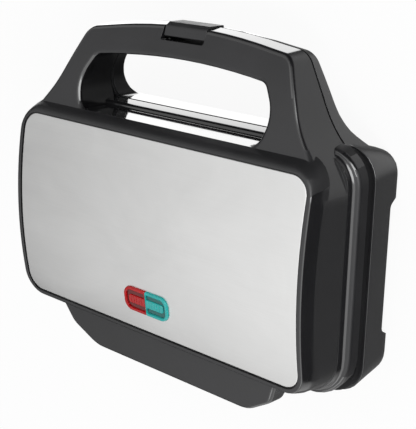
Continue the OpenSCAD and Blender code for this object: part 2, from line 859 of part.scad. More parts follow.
module base_shell() placed() color("#2b2b2d") {
    difference() {
        union() {
            difference() {
                union() {
                    base_body();
                    prism(pad_z, floor_z + over) leg_plan(0);
                }
                base_hollow();
            }
            intersection() {
                base_body();
                union() {
                    box(-notch_x - notch_wall, notch_x + notch_wall, handle_y - over,
                        notch_y + notch_wall, floor_z, base_z);
                    case_screws_at(floor_z) cylinder(r = 5, h = part_z - ledge_top - ledge_t - floor_z);
                }
            }
            mirrored_x() slab(knuckle_x + knuckle_w + knuckle_gap, knuckle_x + knuckle_w * 2 + knuckle_gap)
                base_knuckle_profile();
        }
        grip_opening(base_y0);
        // Catch: a notch for the clip's plate with a pocket for its hook under a ledge
        box(-notch_x, notch_x, handle_y - over * 2, catch_y, part_z - clip_reach - 2, part_z);
        box(-notch_x, notch_x, handle_y - over * 2, catch_y + hook_lap + 1.2,
            part_z - clip_reach - 2, base_z - catch_t);
        // Case screws, driven from below
        case_screws_at(0) {
            cylinder(r = head_r + clear, h = base_screw_z);
            cylinder(r = screw_hole, h = part_z);
        }
        // Room for the lid's knuckles
        mirrored_x() along_x(knuckle_x - knuckle_gap, knuckle_x + knuckle_w + knuckle_gap,
            hinge_y, hinge_z, knuckle_r + 1);
        floor_vents();
        translate([gland_x, base_y1 - wall * 2, gland_z]) rotate([-90, 0, 0])
            cylinder(r = gland_r + 0.05, h = wall * 3);
        foot_places() foot_block(0.1);
    }
}

module foot_places() mirrored_x() {
    translate([base_x - leg_x / 2, base_y0 + leg_front - pad_y / 2 - 4, 0]) children();
    translate([base_x - leg_x / 2, base_y1 - leg_rear + pad_y / 2 + 4, 0]) children();
}

module foot_block(gap) prism(0, pad_t + gap)
    plan(box_outline(pad_x / 2 + gap, -pad_y / 2 - gap, pad_y / 2 + gap, 4, 4));

module feet() placed() color("#3d3d3d") foot_places() foot_block(0);

// ---- Pins and clip --------------------------------------------------------------------------

pin_x0 = knuckle_x - 0.4;
pin_x1 = knuckle_x + knuckle_w * 2 + knuckle_gap + 0.4;

module hinge_pins() placed() color("#9a9a98") mirrored_x() {
    along_x(pin_x0 - 1, pin_x1 + 1, hinge_y, hinge_z, pin_r);
    along_x(pin_x0 - 1.4, pin_x0, hinge_y, hinge_z, pin_r + 1);
    along_x(pin_x1, pin_x1 + 1.4, hinge_y, hinge_z, pin_r + 1);
}

module latch_pin() placed() color("#9a9a98")
    along_x(-notch_x - 1.9, notch_x + 1.9, clip_pin_y, clip_pin_z, clip_pin_r);

clip_top = roll_z + sqrt(face_r * face_r - handle_y * handle_y);

// Clip profile in Y-Z: a face that lies in the front of the handle, a block round the pin,
// a plate down the handle's edge and a hook under the catch
module clip_profile() {
    foot = part_z - clip_reach;
    hook_y = catch_y + hook_lap;
    hook_z = base_z - catch_t - hook_gap;
    difference() {
        polygon(rounded([[clip_y, foot, 0.4], [clip_y + clip_t, foot, 0], [hook_y, hook_z - 0.7, 0],
            [hook_y, hook_z, 0], [clip_y + clip_t, hook_z, 0],
            [clip_y + clip_t, clip_pin_z - cradle_r, 0],
            [clip_pin_y + cradle_r, clip_pin_z - cradle_r, 2],
            [clip_pin_y + cradle_r, clip_top - 1, 0], [clip_y + clip_face, clip_top, 0],
            [clip_y + clip_face, clip_top + 2.6, 0.8], [clip_y + 2, clip_top + 0.4, 2],
            [clip_y, clip_top - 2.5, 1]]));
        translate([clip_pin_y, clip_pin_z]) circle(clip_pin_r + pin_fit);
    }
}

module latch_clip() placed() color("#343436") slab(-clip_x, clip_x) clip_profile();

lid_shell();
steel_panel();
red_lens();
green_lens();
lamp_holder();
neon_lamps();
lid_surround();
lid_screws();
upper_plate();
upper_element();
upper_clamp();
upper_shield();
upper_screws();
lid_leads();
latch_pin();
latch_clip();
base_shell();
base_surround();
base_screws();
lower_plate();
lower_element();
lower_clamp();
lower_shield();
lower_screws();
thermostat();
thermal_fuse();
terminal_block();
base_leads();
cord_gland();
hinge_pins();
feet();
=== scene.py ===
import json
import math

import bmesh
import bpy
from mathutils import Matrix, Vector

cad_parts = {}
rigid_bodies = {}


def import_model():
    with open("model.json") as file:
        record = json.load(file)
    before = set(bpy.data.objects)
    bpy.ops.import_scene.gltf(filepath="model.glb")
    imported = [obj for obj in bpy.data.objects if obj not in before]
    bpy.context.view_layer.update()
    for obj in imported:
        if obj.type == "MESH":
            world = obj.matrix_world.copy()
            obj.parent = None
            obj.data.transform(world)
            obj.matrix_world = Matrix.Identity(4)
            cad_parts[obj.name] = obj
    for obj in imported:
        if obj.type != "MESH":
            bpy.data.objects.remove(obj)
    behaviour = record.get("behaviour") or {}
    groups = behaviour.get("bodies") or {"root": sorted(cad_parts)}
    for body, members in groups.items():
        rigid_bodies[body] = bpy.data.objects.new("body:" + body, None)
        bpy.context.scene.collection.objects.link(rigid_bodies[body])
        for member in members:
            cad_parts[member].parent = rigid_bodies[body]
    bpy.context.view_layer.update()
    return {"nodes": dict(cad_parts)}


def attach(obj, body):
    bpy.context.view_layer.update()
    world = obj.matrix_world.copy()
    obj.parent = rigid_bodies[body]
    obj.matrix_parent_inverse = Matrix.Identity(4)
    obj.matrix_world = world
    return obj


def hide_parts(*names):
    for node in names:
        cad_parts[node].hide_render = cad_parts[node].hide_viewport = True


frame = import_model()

bl_info = {
    "name": "Sandwich Toaster",
    "version": (1, 0, 0),
    "blender": (4, 5, 0),
    "location": "View3D > Sidebar > Toaster",
    "description": "Builds a sandwich toaster round its frame",
    "category": "Object",
}

MM = 0.001

# Sizes shared by several pieces, in millimetres. Outlines are drawn with y = 0 under the middle
# of the steel panel, and SHIFT_Y moves them into the frame, whose origin is mid-footprint.
SHIFT_Y = 15.0
CROWN_Z = 78.5
CROWN_R = 288.4
FACE_R = 282.6
ROLL_Z = CROWN_Z - CROWN_R
PART_Z = 33.5
LID_Z = 33.9
BASE_Z = 33.1
BAND_Z = 28.5
LIP_Z0 = 35.5
LIP_Z1 = 43.5
FLOOR_Z = 8.0
WALL = 2.5
HALF_X = 121.5
FRONT_Y = -66.8
REAR_Y = 69.2
LIP_X, LIP_Y0, LIP_Y1 = 127.0, -71.6, 75.0
BASE_Y1 = 75.5
HANDLE_Y = -124.7
HANDLE_HALF = 81.6
COVER_Y = 95.2
COVER_HALF = 92.5
GRIP_TOP = HANDLE_Y + 19.4
GRIP_HALF = 78.2
HINGE_Y, HINGE_Z, HINGE_BORE = 80.0, 33.5, 2.06
KNUCKLE_X, KNUCKLE_W, KNUCKLE_R, KNUCKLE_GAP = 57.5, 8.0, 5.2, 0.4
PANEL_X, PANEL_Y, PANEL_CORNER, PANEL_GAP = 115.0, 60.6, 11.0, 0.75
ROW_STEP = 6.0
MERGE, DEGENERATE = 0.004, 0.001


# ---- Outlines: lists of (x, y, radius) corners, anticlockwise, in millimetres ----


def unit(x, y):
    length = math.hypot(x, y)
    return x / length, y / length


def corner_arc(a, b, c, step):
    """Points of the arc that rounds the corner at b to its radius."""
    u = unit(a[0] - b[0], a[1] - b[1])
    v = unit(c[0] - b[0], c[1] - b[1])
    half = math.acos(max(-1.0, min(1.0, u[0] * v[0] + u[1] * v[1]))) / 2
    middle = unit(u[0] + v[0], u[1] + v[1])
    reach = b[2] / math.sin(half)
    mx, my = b[0] + middle[0] * reach, b[1] + middle[1] * reach
    leg = b[2] / math.tan(half)
    start = math.atan2(b[1] + u[1] * leg - my, b[0] + u[0] * leg - mx)
    end = math.atan2(b[1] + v[1] * leg - my, b[0] + v[0] * leg - mx)
    turn = (end - start + math.pi) % (2 * math.pi) - math.pi
    turns = [start + turn * i / step for i in range(step + 1)]
    return [(mx + b[2] * math.cos(a), my + b[2] * math.sin(a)) for a in turns]


def rounded(corners, step=8):
    """The outline as plain points. Every rounded corner gets the same number of points, so that
    outlines made from the same corners can be bridged."""
    points = []
    for i, b in enumerate(corners):
        if b[2] > 0:
            points += corner_arc(corners[i - 1], b, corners[(i + 1) % len(corners)], step)
        else:
            points.append((b[0], b[1]))
    return points


def inset(corners, t):
    """The same outline moved inwards by t, or outwards if t is negative."""
    out = []
    for i, b in enumerate(corners):
        a, c = corners[i - 1], corners[(i + 1) % len(corners)]
        d = unit(b[0] - a[0], b[1] - a[1])
        e = unit(c[0] - b[0], c[1] - b[1])
        n, m = (d[1], -d[0]), (e[1], -e[0])
        k = t / (1 + n[0] * m[0] + n[1] * m[1])
        bulges = d[0] * e[1] - d[1] * e[0] > 0
        r = b[2] if b[2] == 0 else max(0.4, b[2] - t if bulges else b[2] + t)
        out.append((b[0] - k * (n[0] + m[0]), b[1] - k * (n[1] + m[1]), r))
    return out


def both_sides(half):
    return list(half) + [(-x, y, r) for x, y, r in reversed(half)]


def box_outline(x, y0, y1, r0, r1):
    return both_sides([(x, y0, r0), (x, y1, r1)])


def arch(x, y, r):
    return y + x * x / (2 * r)


def lid_outline(side=HALF_X, rear=REAR_Y, corner=20.0):
    """Handle, side walls and hinge cover in one outline."""
    xs = [(HANDLE_HALF - 9) * (i + 0.5) / 6 for i in range(6)]
    half = [(x, arch(x, HANDLE_Y, 430), 0) for x in xs]
    half += [(HANDLE_HALF, arch(HANDLE_HALF, HANDLE_Y, 430) - 0.6, 12),
             (HALF_X - 22.4, FRONT_Y - 14, 70), (side + 0.5, FRONT_Y + 12.5, 30),
             (side, rear, corner), (COVER_HALF, rear, 0),
             (COVER_HALF - 6, COVER_Y - 12.6, 12), (COVER_HALF - 26, COVER_Y, 22)]
    return both_sides(half)


def grip_outline(end=FRONT_Y):
    half = [((GRIP_HALF - 16) * (i + 0.5) / 5, 0, 0) for i in range(5)]
    half = [(x, arch(x, GRIP_TOP, 515), 0) for x, _, _ in half]
    half += [(GRIP_HALF - 10.5, arch(GRIP_HALF - 10.5, GRIP_TOP, 515), 7),
             (GRIP_HALF, end - 17, 20), (GRIP_HALF - 7, end, 9)]
    return both_sides(half)


def lip_outline():
    return box_outline(LIP_X, LIP_Y0, LIP_Y1, 20, 27)


def clamped(share):
    return max(0.0, min(1.0, share))


def sag(y, radius):
    """Drop of a roll of that radius at y; behind the housing it runs straight on."""
    end = min(y, REAR_Y)
    slope = end / math.sqrt(radius * radius - end * end)
    return radius - math.sqrt(radius * radius - end * end) + (y - end) * slope


# ---- Modelling steps ----


def deselect():
    if bpy.context.mode != "OBJECT":
        bpy.ops.object.mode_set(mode="OBJECT")
    bpy.ops.object.select_all(action="DESELECT")


def pick(obj):
    deselect()
    obj.select_set(True)
    bpy.context.view_layer.objects.active = obj


def select_all(action="SELECT"):
    bpy.ops.mesh.select_all(action=action)


def edit(obj, mode="VERT"):
    pick(obj)
    bpy.ops.object.mode_set(mode="EDIT")
    bpy.ops.mesh.select_mode(type=mode)
    select_all("DESELECT")


def done():
    bpy.ops.object.mode_set(mode="OBJECT")


def fresh(name):
    """The object that the last operator added, with its name."""
    obj = bpy.context.object
    obj.name = name
    return obj


def face_outwards():
    """Turns every face of the edited mesh outwards and leaves edit mode."""
    select_all()
    bpy.ops.mesh.normals_make_consistent(inside=False)
    done()


def apply_place():
    bpy.ops.object.transform_apply(location=True, rotation=True, scale=True)


def modify(obj, kind, **settings):
    """Adds a modifier with these settings and applies it."""
    pick(obj)
    bpy.ops.object.modifier_add(type=kind)
    mod = obj.modifiers[-1]
    for key, value in settings.items():
        setattr(mod, key, value)
    bpy.ops.object.modifier_apply(modifier=mod.name)


def choose(obj, kind, test):
    """Selects the verts, edges or faces of the edited mesh that pass the test."""
    bpy.ops.mesh.select_mode(type={"verts": "VERT", "edges": "EDGE", "faces": "FACE"}[kind])
    select_all("DESELECT")
    bm = bmesh.from_edit_mesh(obj.data)
    count = 0
    for item in getattr(bm, kind):
        if test(item):
            item.select_set(True)
            count += 1
    bm.select_flush_mode()
    bmesh.update_edit_mesh(obj.data)
    return count


def place(v):
    return v.co.x, v.co.y, v.co.z


def shrink_to(at):
    """Merges the selected plane to one vertex at a place in millimetres."""
    bpy.ops.mesh.merge(type="CENTER")
    bpy.ops.transform.translate(value=Vector(at) * MM)


def start_vertex(at):
    """Adds a vertex to the edited mesh."""
    bpy.ops.mesh.select_mode(type="VERT")
    select_all("DESELECT")
    bpy.ops.mesh.primitive_plane_add(size=MM, location=(0, 0, 0))
    shrink_to(at)


def start_mesh(name, at):
    """A new object whose mesh is one vertex, left in edit mode."""
    deselect()
    bpy.ops.mesh.primitive_plane_add(size=MM, location=(0, 0, 0))
    obj = fresh(name)
    obj.data.name = name
    edit(obj)
    select_all()
    shrink_to(at)
    return obj


def trace(places):
    """Extrudes the selected vertex from place to place, in millimetres."""
    for a, b in zip(places, places[1:]):
        bpy.ops.mesh.extrude_region_move(
            TRANSFORM_OT_translate={"value": (Vector(b) - Vector(a)) * MM})


def close_trace(obj, count):
    """Joins the two ends of the last trace and returns where its vertices are."""
    bpy.ops.mesh.select_linked()
    bm = bmesh.from_edit_mesh(obj.data)
    ring = {place(v) for v in bm.verts if v.select}
    if len(ring) != count:
        raise RuntimeError(f"{obj.name}: {len(ring)} points in a loop of {count}")
    choose(obj, "verts", lambda v: len(v.link_edges) == 1)
    bpy.ops.mesh.edge_face_add()
    return ring


def loft(name, loops):
    """A closed solid through loops of (points, z), each traced and then bridged to the next."""
    obj = None
    rings = []
    for points, z in loops:
        places = [(x, y + SHIFT_Y, z) for x, y in points]
        if obj is None:
            obj = start_mesh(name, places[0])
        else:
            start_vertex(places[0])
        trace(places)
        rings.append(close_trace(obj, len(places)))
    for a, b in zip(rings, rings[1:]):
        choose(obj, "verts", lambda v: place(v) in a or place(v) in b)
        bpy.ops.mesh.select_mode(type="EDGE")
        bpy.ops.mesh.bridge_edge_loops()
    for ring in (rings[0], rings[-1]):
        choose(obj, "verts", lambda v: place(v) in ring)
        bpy.ops.mesh.edge_face_add()
    face_outwards()
    return obj


def prism(name, corners, z0, z1, step=8):
    points = rounded(corners, step)
    return loft(name, [(points, z0), (points, z1)])


def block(name, x0, x1, y0, y1, z0, z1):
    """A box between corners in millimetres, in outline coordinates."""
    deselect()
    bpy.ops.mesh.primitive_cube_add(
        size=1, location=((x0 + x1) / 2 * MM, ((y0 + y1) / 2 + SHIFT_Y) * MM, (z0 + z1) / 2 * MM),
        scale=((x1 - x0) * MM, (y1 - y0) * MM, (z1 - z0) * MM))
    obj = fresh(name)
    apply_place()
    return obj


def rod(name, radius, x, y, z, length, turn, sides=48):
    """A cylinder about a point, its axis along Z before the turn."""
    deselect()
    bpy.ops.mesh.primitive_cylinder_add(
        vertices=sides, radius=radius * MM, depth=length * MM,
        location=(x * MM, (y + SHIFT_Y) * MM, z * MM), rotation=turn)
    obj = fresh(name)
    apply_place()
    return obj


ALONG_X = (0, math.pi / 2, 0)
ALONG_Y = (math.pi / 2, 0, 0)
UPRIGHT = (0, 0, 0)


def slab(name, profile, x0, x1):
    """A Y-Z profile drawn at x0 and extruded to x1."""
    places = [(x0, y + SHIFT_Y, z) for y, z in profile]
    obj = start_mesh(name, places[0])
    trace(places)
    select_all()
    bpy.ops.mesh.edge_face_add()
    bpy.ops.mesh.extrude_region_move(TRANSFORM_OT_translate={"value": ((x1 - x0) * MM, 0, 0)})
    face_outwards()
    return obj


def rows(obj, y0, y1, step=ROW_STEP):
    """Cuts the mesh into rows across Y."""
    edit(obj)
    y = math.ceil(y0 / step) * step + 0.013
    while y <= y1:
        select_all()
        bpy.ops.mesh.bisect(plane_co=(0, (y + SHIFT_Y) * MM, 0), plane_no=(0, 1, 0))
        y += step
    done()


def lift_rows(obj, rise):
    """Moves each vertex at (y, z) up by rise(y, z), taking together all that move alike."""
    edit(obj)
    bm = bmesh.from_edit_mesh(obj.data)
    groups = {}
    for i, v in enumerate(bm.verts):
        lift = round(rise(v.co.y / MM - SHIFT_Y, v.co.z / MM), 3)
        if lift:
            groups.setdefault(lift, []).append(i)
    for lift, members in groups.items():
        select_all("DESELECT")
        bm = bmesh.from_edit_mesh(obj.data)
        bm.verts.ensure_lookup_table()
        for i in members:
            bm.verts[i].select_set(True)
        bpy.ops.transform.translate(value=(0, 0, lift * MM))
    done()


def boolean(target, tool, how):
    modify(target, "BOOLEAN", operation=how, solver="EXACT", object=tool)
    pick(tool)
    bpy.ops.object.delete()
    if len(target.data.polygons) == 0:
        raise RuntimeError(f"{target.name}: nothing is left after {how}")
    return target


def cut(target, *tools):
    for tool in tools:
        boolean(target, tool, "DIFFERENCE")
    return target


def add(target, *tools):
    for tool in tools:
        boolean(target, tool, "UNION")
    return target


def keep(target, tool):
    return boolean(target, tool, "INTERSECT")


def tidy_mesh(obj, angle=32, fill=False):
    """Merges doubles, shades smooth between sharp edges, and weighs the normals."""
    edit(obj)
    select_all()
    bpy.ops.mesh.remove_doubles(threshold=MERGE * MM)
    select_all()
    bpy.ops.mesh.dissolve_degenerate(threshold=DEGENERATE * MM)
    select_all()
    if fill:
        bpy.ops.mesh.fill_holes(sides=0)
    face_outwards()
    pick(obj)
    bpy.ops.object.shade_smooth_by_angle(angle=math.radians(angle))
    modify(obj, "WEIGHTED_NORMAL", keep_sharp=True, weight=80)


def round_edges(obj, width, segments, angle):
    """Rounds every edge over the angle with an applied bevel."""
    modify(obj, "BEVEL", width=width * MM, segments=segments, limit_method="ANGLE",
           angle_limit=math.radians(angle), use_clamp_overlap=True)


def set_piece(obj, body, slot, nodes, *finishes):
    """Gives a piece its finishes, its body and the nodes that it stands for. The slot is not used.
    """
    for name in finishes:
        if name not in obj.data.materials:
            obj.data.materials.append(finish(name))
    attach(obj, body)
    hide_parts(*nodes)
    return obj


def paint(obj, index, test):
    """Puts the material of that slot number on the faces that pass the test."""
    edit(obj, "FACE")
    if choose(obj, "faces", test):
        obj.active_material_index = index
        bpy.ops.object.material_slot_assign()
    done()


# ---- Shapes of the lid ----

EDGE, FLARE, LEAN = 2.2, 2.8, 0.8
LID_SKIN, PANEL_SKIN, GRIP_SKIN, HANDLE_SKIN, BASE_SKIN = 2.7, 3.6, 2.6, 3.0, 2.6
CLIP_ROOM = (-19.7, 19.7, -127, -112.3)
LID_GRIP_Y, BASE_GRIP_Y = -67.5, -71.5
GROOVE, GROOVE_Z = 1.0, 1.5
QUARTER = [i * math.pi / 8 for i in range(5)]


def quarter_round(radius, z, way=1):
    """Inset and height at each step of a rounded edge that starts at z and runs up or down."""
    return [(radius * (1 - math.cos(a)), z + way * radius * math.sin(a)) for a in QUARTER]


def rolled(obj, radius, foot, shoulder, y0=-126.0, y1=97.0, step=ROW_STEP):
    """Bends a mesh to the roll of the lid: fully over the shoulder height, and not at all at
    the foot."""
    rows(obj, y0, y1, step)
    lift_rows(obj, lambda y, z: -sag(y, radius) * clamped((z - foot) / (shoulder - foot)))


def face_top():
    return ROLL_Z + FACE_R


def lid_block():
    """Handle, walls and hinge cover up to the face, with a rounded edge."""
    low = rounded(lid_outline(122.6, 72.0, 22.0))
    high = lid_outline(121.7, 68.6, 20.8)
    obj = loft("lid_case", [(low, LID_Z)] + [
        (rounded(inset(high, LEAN + t)), z) for t, z in quarter_round(EDGE, face_top() - EDGE)])
    rolled(obj, FACE_R, LID_Z, face_top() - EDGE)
    return obj


def panel_box(t):
    r = PANEL_CORNER - t
    return box_outline(PANEL_X - t, -PANEL_Y + t, PANEL_Y - t, r, r)


def lid_frame():
    """Rim round the steel panel: a steep bevel outside, and a crowned slope along the handle."""
    steps = [(6.1, -69.5, -11.0), (5.75, -67.6, -6.4), (5.2, -66.7, -4.6), (4.5, -65.6, -2.3),
             (3.75, -64.2, -0.2), (3.4, -63.2, 0.45), (3.0, -62.6, 0.71), (2.4, -62.0, 0.79)]
    loops = []
    for t, front, z in steps:
        r = PANEL_CORNER + t
        loops.append((rounded(box_outline(PANEL_X + t, front, PANEL_Y + t, r, r)), CROWN_Z + z))
    obj = loft("lid_frame", loops)
    rolled(obj, CROWN_R, 0.0, 1.0, -66.0, 66.0)
    return obj


# Levels of the lip: place on the face, height and lean
LIP_LEVELS = [(0.07, LID_Z, 0.0), (0.0, LID_Z + 0.5, 0.1), (0.0, 41.0, 1.0), (0.03, 41.8, 1.1),
              (0.12, 42.6), (0.24, 43.2), (0.38, 43.5), (0.62, 43.85), (0.82, 44.5), (0.95, 45.5),
              (1.0, 47.0), (1.08, 47.5)]


def lip_level(t, z, lean=1.2):
    """One level of the lip, from t = 0 on its face to t = 1 on the wall above it. The face leans
    back along the handle."""
    return rounded(box_outline(LIP_X - 4.5 * t, LIP_Y0 + lean + 2.9 * t, LIP_Y1 - 3.6 * t,
                               20 - 3 * t, 27 - 4 * t)), z


def lid_lip():
    """Lip round the lid: a face, a bead along its edge and a hollow step up to the wall."""
    return loft("lid_lip", [lip_level(*level) for level in LIP_LEVELS])


def flared_grip(flare, end, along=0.0):
    """The grip outline, widened by a flare, which the side along the housing has a part of."""
    points = rounded(inset(grip_outline(end), -flare))
    return [(x, min(y, end + along + y * 1e-5)) for x, y in points]


def grip_cutter():
    """The grip opening through the lid half of the handle, flared along the face."""
    levels = [(0, LID_Z - 6)] + quarter_round(FLARE, face_top() - FLARE)
    levels.append((FLARE, face_top() + 12))
    obj = loft("grip_cutter", [(flared_grip(t, LID_GRIP_Y), z) for t, z in levels])
    rolled(obj, FACE_R, LID_Z, face_top() - FLARE, -110.0, -60.0)
    return obj


def lid_hollow():
    """Room inside the handle, the walls and the hinge cover."""
    points = rounded(inset(lid_outline(), 2.9), 3)
    top = face_top() - LID_SKIN
    obj = loft("lid_hollow", [(points, LID_Z - 3), (points, top)])
    rolled(obj, FACE_R - LID_SKIN, LID_Z, top, step=12.0)
    points = rounded(inset(grip_outline(), -GRIP_SKIN), 3)
    keep_wall = loft("grip_wall", [(points, LID_Z - 6), (points, 90)])
    cut(obj, keep_wall, block("rear_wall", -94, 94, REAR_Y - LID_SKIN, REAR_Y + 0.2, 20, 90),
        block("notch_wall", *CLIP_ROOM, 20, 60))
    points = rounded(panel_box(2.5), 3)
    frame_room = loft("frame_room", [(points, LID_Z - 3), (points, CROWN_Z - PANEL_SKIN)])
    rolled(frame_room, CROWN_R - PANEL_SKIN, LID_Z, CROWN_Z - PANEL_SKIN, -60.0, 60.0, 12.0)
    lip_room = prism("lip_room", inset(lip_outline(), 3.0), LID_Z - 3.5, 40.9, 3)
    return obj, frame_room, lip_room


def panel_seat():
    points = rounded(panel_box(-PANEL_GAP))
    obj = loft("panel_seat", [(points, CROWN_Z - 0.9), (points, CROWN_Z + 8)])
    rolled(obj, CROWN_R, 0.0, 1.0, -62.0, 62.0)
    return obj


def hinge_rod(name, radius, x, length, sides=48):
    return rod(name, radius, x, HINGE_Y, HINGE_Z, length, ALONG_X, sides)


def knuckles(name, x0, x1, profile):
    """The same knuckle slab on both sides, bored along the hinge axis."""
    out = []
    for side in (-1, 1):
        a, b = sorted((side * x0, side * x1))
        knuckle = slab(f"{name}_{side + 1}", profile, a, b)
        add(knuckle, hinge_rod("barrel", KNUCKLE_R, (a + b) / 2, b - a, 64))
        cut(knuckle, hinge_rod("bore", HINGE_BORE, (a + b) / 2, b - a + 2, 32))
        out.append(knuckle)
    return out


LID_KNUCKLE = [(LIP_Y1 - WALL, LIP_Z0 + 0.5), (HINGE_Y - 4.2, HINGE_Z + 2.4),
               (HINGE_Y + 2.5, HINGE_Z + 4.4), (LIP_Y1, LIP_Z1 + 4), (REAR_Y - WALL, LIP_Z1 + 4),
               (REAR_Y - WALL, LIP_Z1 - WALL), (LIP_Y1 - WALL, LIP_Z1 - WALL)]
COVER_Z = 50.0
NOTCH_X, NOTCH_Y = 17.2, -115.0
CLIP_X, CLIP_Y, CLIP_THICK = 16.5, -125.2, 2.6
CLIP_PIN_Y, CLIP_PIN_Z, CLIP_PIN_R = -120.1, 39.0, 1.25
CATCH_Y, CATCH_THICK, HOOK_REACH = CLIP_Y + 2.9, 2, 1.3
LENS_Y, LENS_HALF, LENS_DEEP, LENS_R = 40.0, 18.5, 16.0, 6.0
LENS_HOLE = (20.0, -9.5, 9.5, 7.5, 7.5)


def on_panel(obj):
    """Moves a piece drawn round the origin on to the roll of the panel, where the lamps are."""
    tilt = math.asin(LENS_Y / CROWN_R)
    pick(obj)
    obj.rotation_euler = (-tilt, 0, 0)
    obj.location = (0, (CROWN_R * math.sin(tilt) + SHIFT_Y) * MM,
                    (ROLL_Z + CROWN_R * math.cos(tilt)) * MM)
    apply_place()
    return obj


def flat_loft(name, loops):
    """A loft drawn round the origin, for a piece that is then laid on the panel."""
    return loft(name, [([(x, y - SHIFT_Y) for x, y in points], z) for points, z in loops])


def clip_bore(length, sides):
    return rod("clip_bore", CLIP_PIN_R + 0.06, 0, CLIP_PIN_Y, CLIP_PIN_Z, length, ALONG_X, sides)


def knuckle_swing(x, length):
    """The room in which the other half's knuckle turns."""
    return hinge_rod("swing", KNUCKLE_R + 1, x, length)


def make_lid_case():
    case = lid_block()
    add(case, lid_frame(), lid_lip())
    cut(case, *lid_hollow())
    grip = grip_cutter()
    cut(grip, lid_lip())
    cut(case, grip)
    cut(case, block("lift", -140, 140, -69.1, 100, 20, LIP_Z0))
    cut(case, block("under_cover", -110, 110, LIP_Y1 - 0.2, 110, 20, COVER_Z))
    add(case, *knuckles("lid_knuckle", KNUCKLE_X, KNUCKLE_X + KNUCKLE_W, LID_KNUCKLE))
    cut(case, panel_seat())
    hole = rounded(box_outline(*LENS_HOLE))
    cut(case, on_panel(flat_loft("lens_hole", [(hole, -8), (hole, 2)])))
    notch = prism("notch", box_outline(NOTCH_X, -128, NOTCH_Y, 1.4, 1.4), 20, 70)
    cut(case, notch, clip_bore(38.4, 24))
    for side in (-1, 1):
        x = side * (KNUCKLE_X + KNUCKLE_W * 1.5 + KNUCKLE_GAP * 1.5)
        cut(case, knuckle_swing(x, KNUCKLE_W + KNUCKLE_GAP * 3))
    tidy_mesh(case, fill=True)
    return case


# ---- Panel, lamps and clip ----


def capsule(t=0.0):
    return box_outline(LENS_HALF - t, -LENS_DEEP / 2 + t, LENS_DEEP / 2 - t, LENS_R - t, LENS_R - t)


def make_panel():
    """Steel sheet with a softly turned edge, rolled front to back, with the lamps' window."""
    steps = [(0.0, -0.88), (0.0, -0.5), (0.06, -0.26), (0.22, -0.08), (0.5, 0.0)]
    obj = loft("steel_sheet", [(rounded(panel_box(t)), CROWN_Z + z) for t, z in steps])
    rolled(obj, CROWN_R, 0.0, 1.0, -60.0, 60.0, 3.0)
    window = rounded(capsule(-0.2))
    cut(obj, on_panel(flat_loft("window", [(window, -3), (window, 3)])))
    tidy_mesh(obj, 40)
    return obj


def half_outline(t, inner):
    """Half of the capsule, from the inner edge outwards, moved inwards by t."""
    r = LENS_R - t
    return [(inner, -LENS_DEEP / 2 + t, 0.5), (LENS_HALF - t, -LENS_DEEP / 2 + t, r),
            (LENS_HALF - t, LENS_DEEP / 2 - t, r), (inner, LENS_DEEP / 2 - t, 0.5)]


def make_lens(name, side):
    """One half of the capsule: a rounded rim round a sunk floor, with a ribbed bar."""
    def mirrored(points):
        return points if side > 0 else [(-x, y) for x, y in points][::-1]

    def level(t, inner, z):
        return mirrored(rounded(half_outline(t, inner), 6)), z

    def bar(t, z):
        return mirrored(rounded([(0.3, t - 2.7, 0.2), (14.6 - t, t - 2.7, 1.6),
                                 (14.6 - t, 2.7 - t, 1.6), (0.3, 2.7 - t, 0.2)], 5)), z

    obj = flat_loft(name, [level(*step) for step in (
        (0.0, 0.15, -1.1), (0.0, 0.15, 0.75), (0.18, 0.18, 1.15), (0.55, 0.22, 1.38),
        (1.35, 0.3, 1.42), (1.75, 0.36, 1.2), (1.9, 0.42, 0.25))])
    add(obj, flat_loft("foot", [level(-1.1, 0.15, -2.5), level(-1.1, 0.15, -1.0)]),
        flat_loft("bar", [bar(0, 0.0), bar(0, 0.7), bar(0.15, 0.95), bar(0.4, 1.05)]))
    for i in range(5):
        cut(obj, block("rib", *sorted((side * (3.0 + 2.2 * i), side * (3.35 + 2.2 * i))),
                       -3.0 - SHIFT_Y, 3.0 - SHIFT_Y, 0.85, 3))
    on_panel(obj)
    tidy_mesh(obj, 30)
    return obj


def clip_profile():
    top = ROLL_Z + math.sqrt(FACE_R ** 2 - HANDLE_Y ** 2)
    foot = PART_Z - 4
    back = CLIP_Y + CLIP_THICK
    hook_y, hook_z = back + 0.3 + HOOK_REACH, BASE_Z - CATCH_THICK - 0.55
    return rounded([
        (CLIP_Y, foot, 0.4), (back, foot, 0), (hook_y, hook_z - 0.7, 0),
        (hook_y, hook_z, 0), (back, hook_z, 0), (back, CLIP_PIN_Z - 3, 0),
        (CLIP_PIN_Y + 3, CLIP_PIN_Z - 3, 2), (CLIP_PIN_Y + 3, top - 1, 0),
        (CLIP_Y + 8.2, top - 0.6, 0), (CLIP_Y + 8.2, top + 2.2, 0.8), (CLIP_Y + 2, top + 0.4, 2.4),
        (CLIP_Y, top - 2.5, 1.4)], 5)


def make_clip():
    obj = slab("clip_cover", clip_profile(), -CLIP_X, CLIP_X)
    cut(obj, clip_bore(40, 32))
    round_edges(obj, 0.45, 3, 50)
    tidy_mesh(obj, 35)
    return obj


# ---- Shapes of the base ----

UNDER_HANDLE = [(-140, 28.2), (-126, 26.7), (-116, 25.4), (-107, 24.2), (-98, 23.2), (-90, 22.6),
                (-84, 21.8), (-79, 20.4), (-75, 18.5), (-71, 15.2), (-67.5, 11.2), (-65, 8.4),
                (-60, 8.0), (140, 8.0)]


def under_handle(y):
    for (y0, z0), (y1, z1) in zip(UNDER_HANDLE, UNDER_HANDLE[1:]):
        if y <= y1:
            return z0 + (z1 - z0) * (y - y0) / (y1 - y0)
    return UNDER_HANDLE[-1][1]


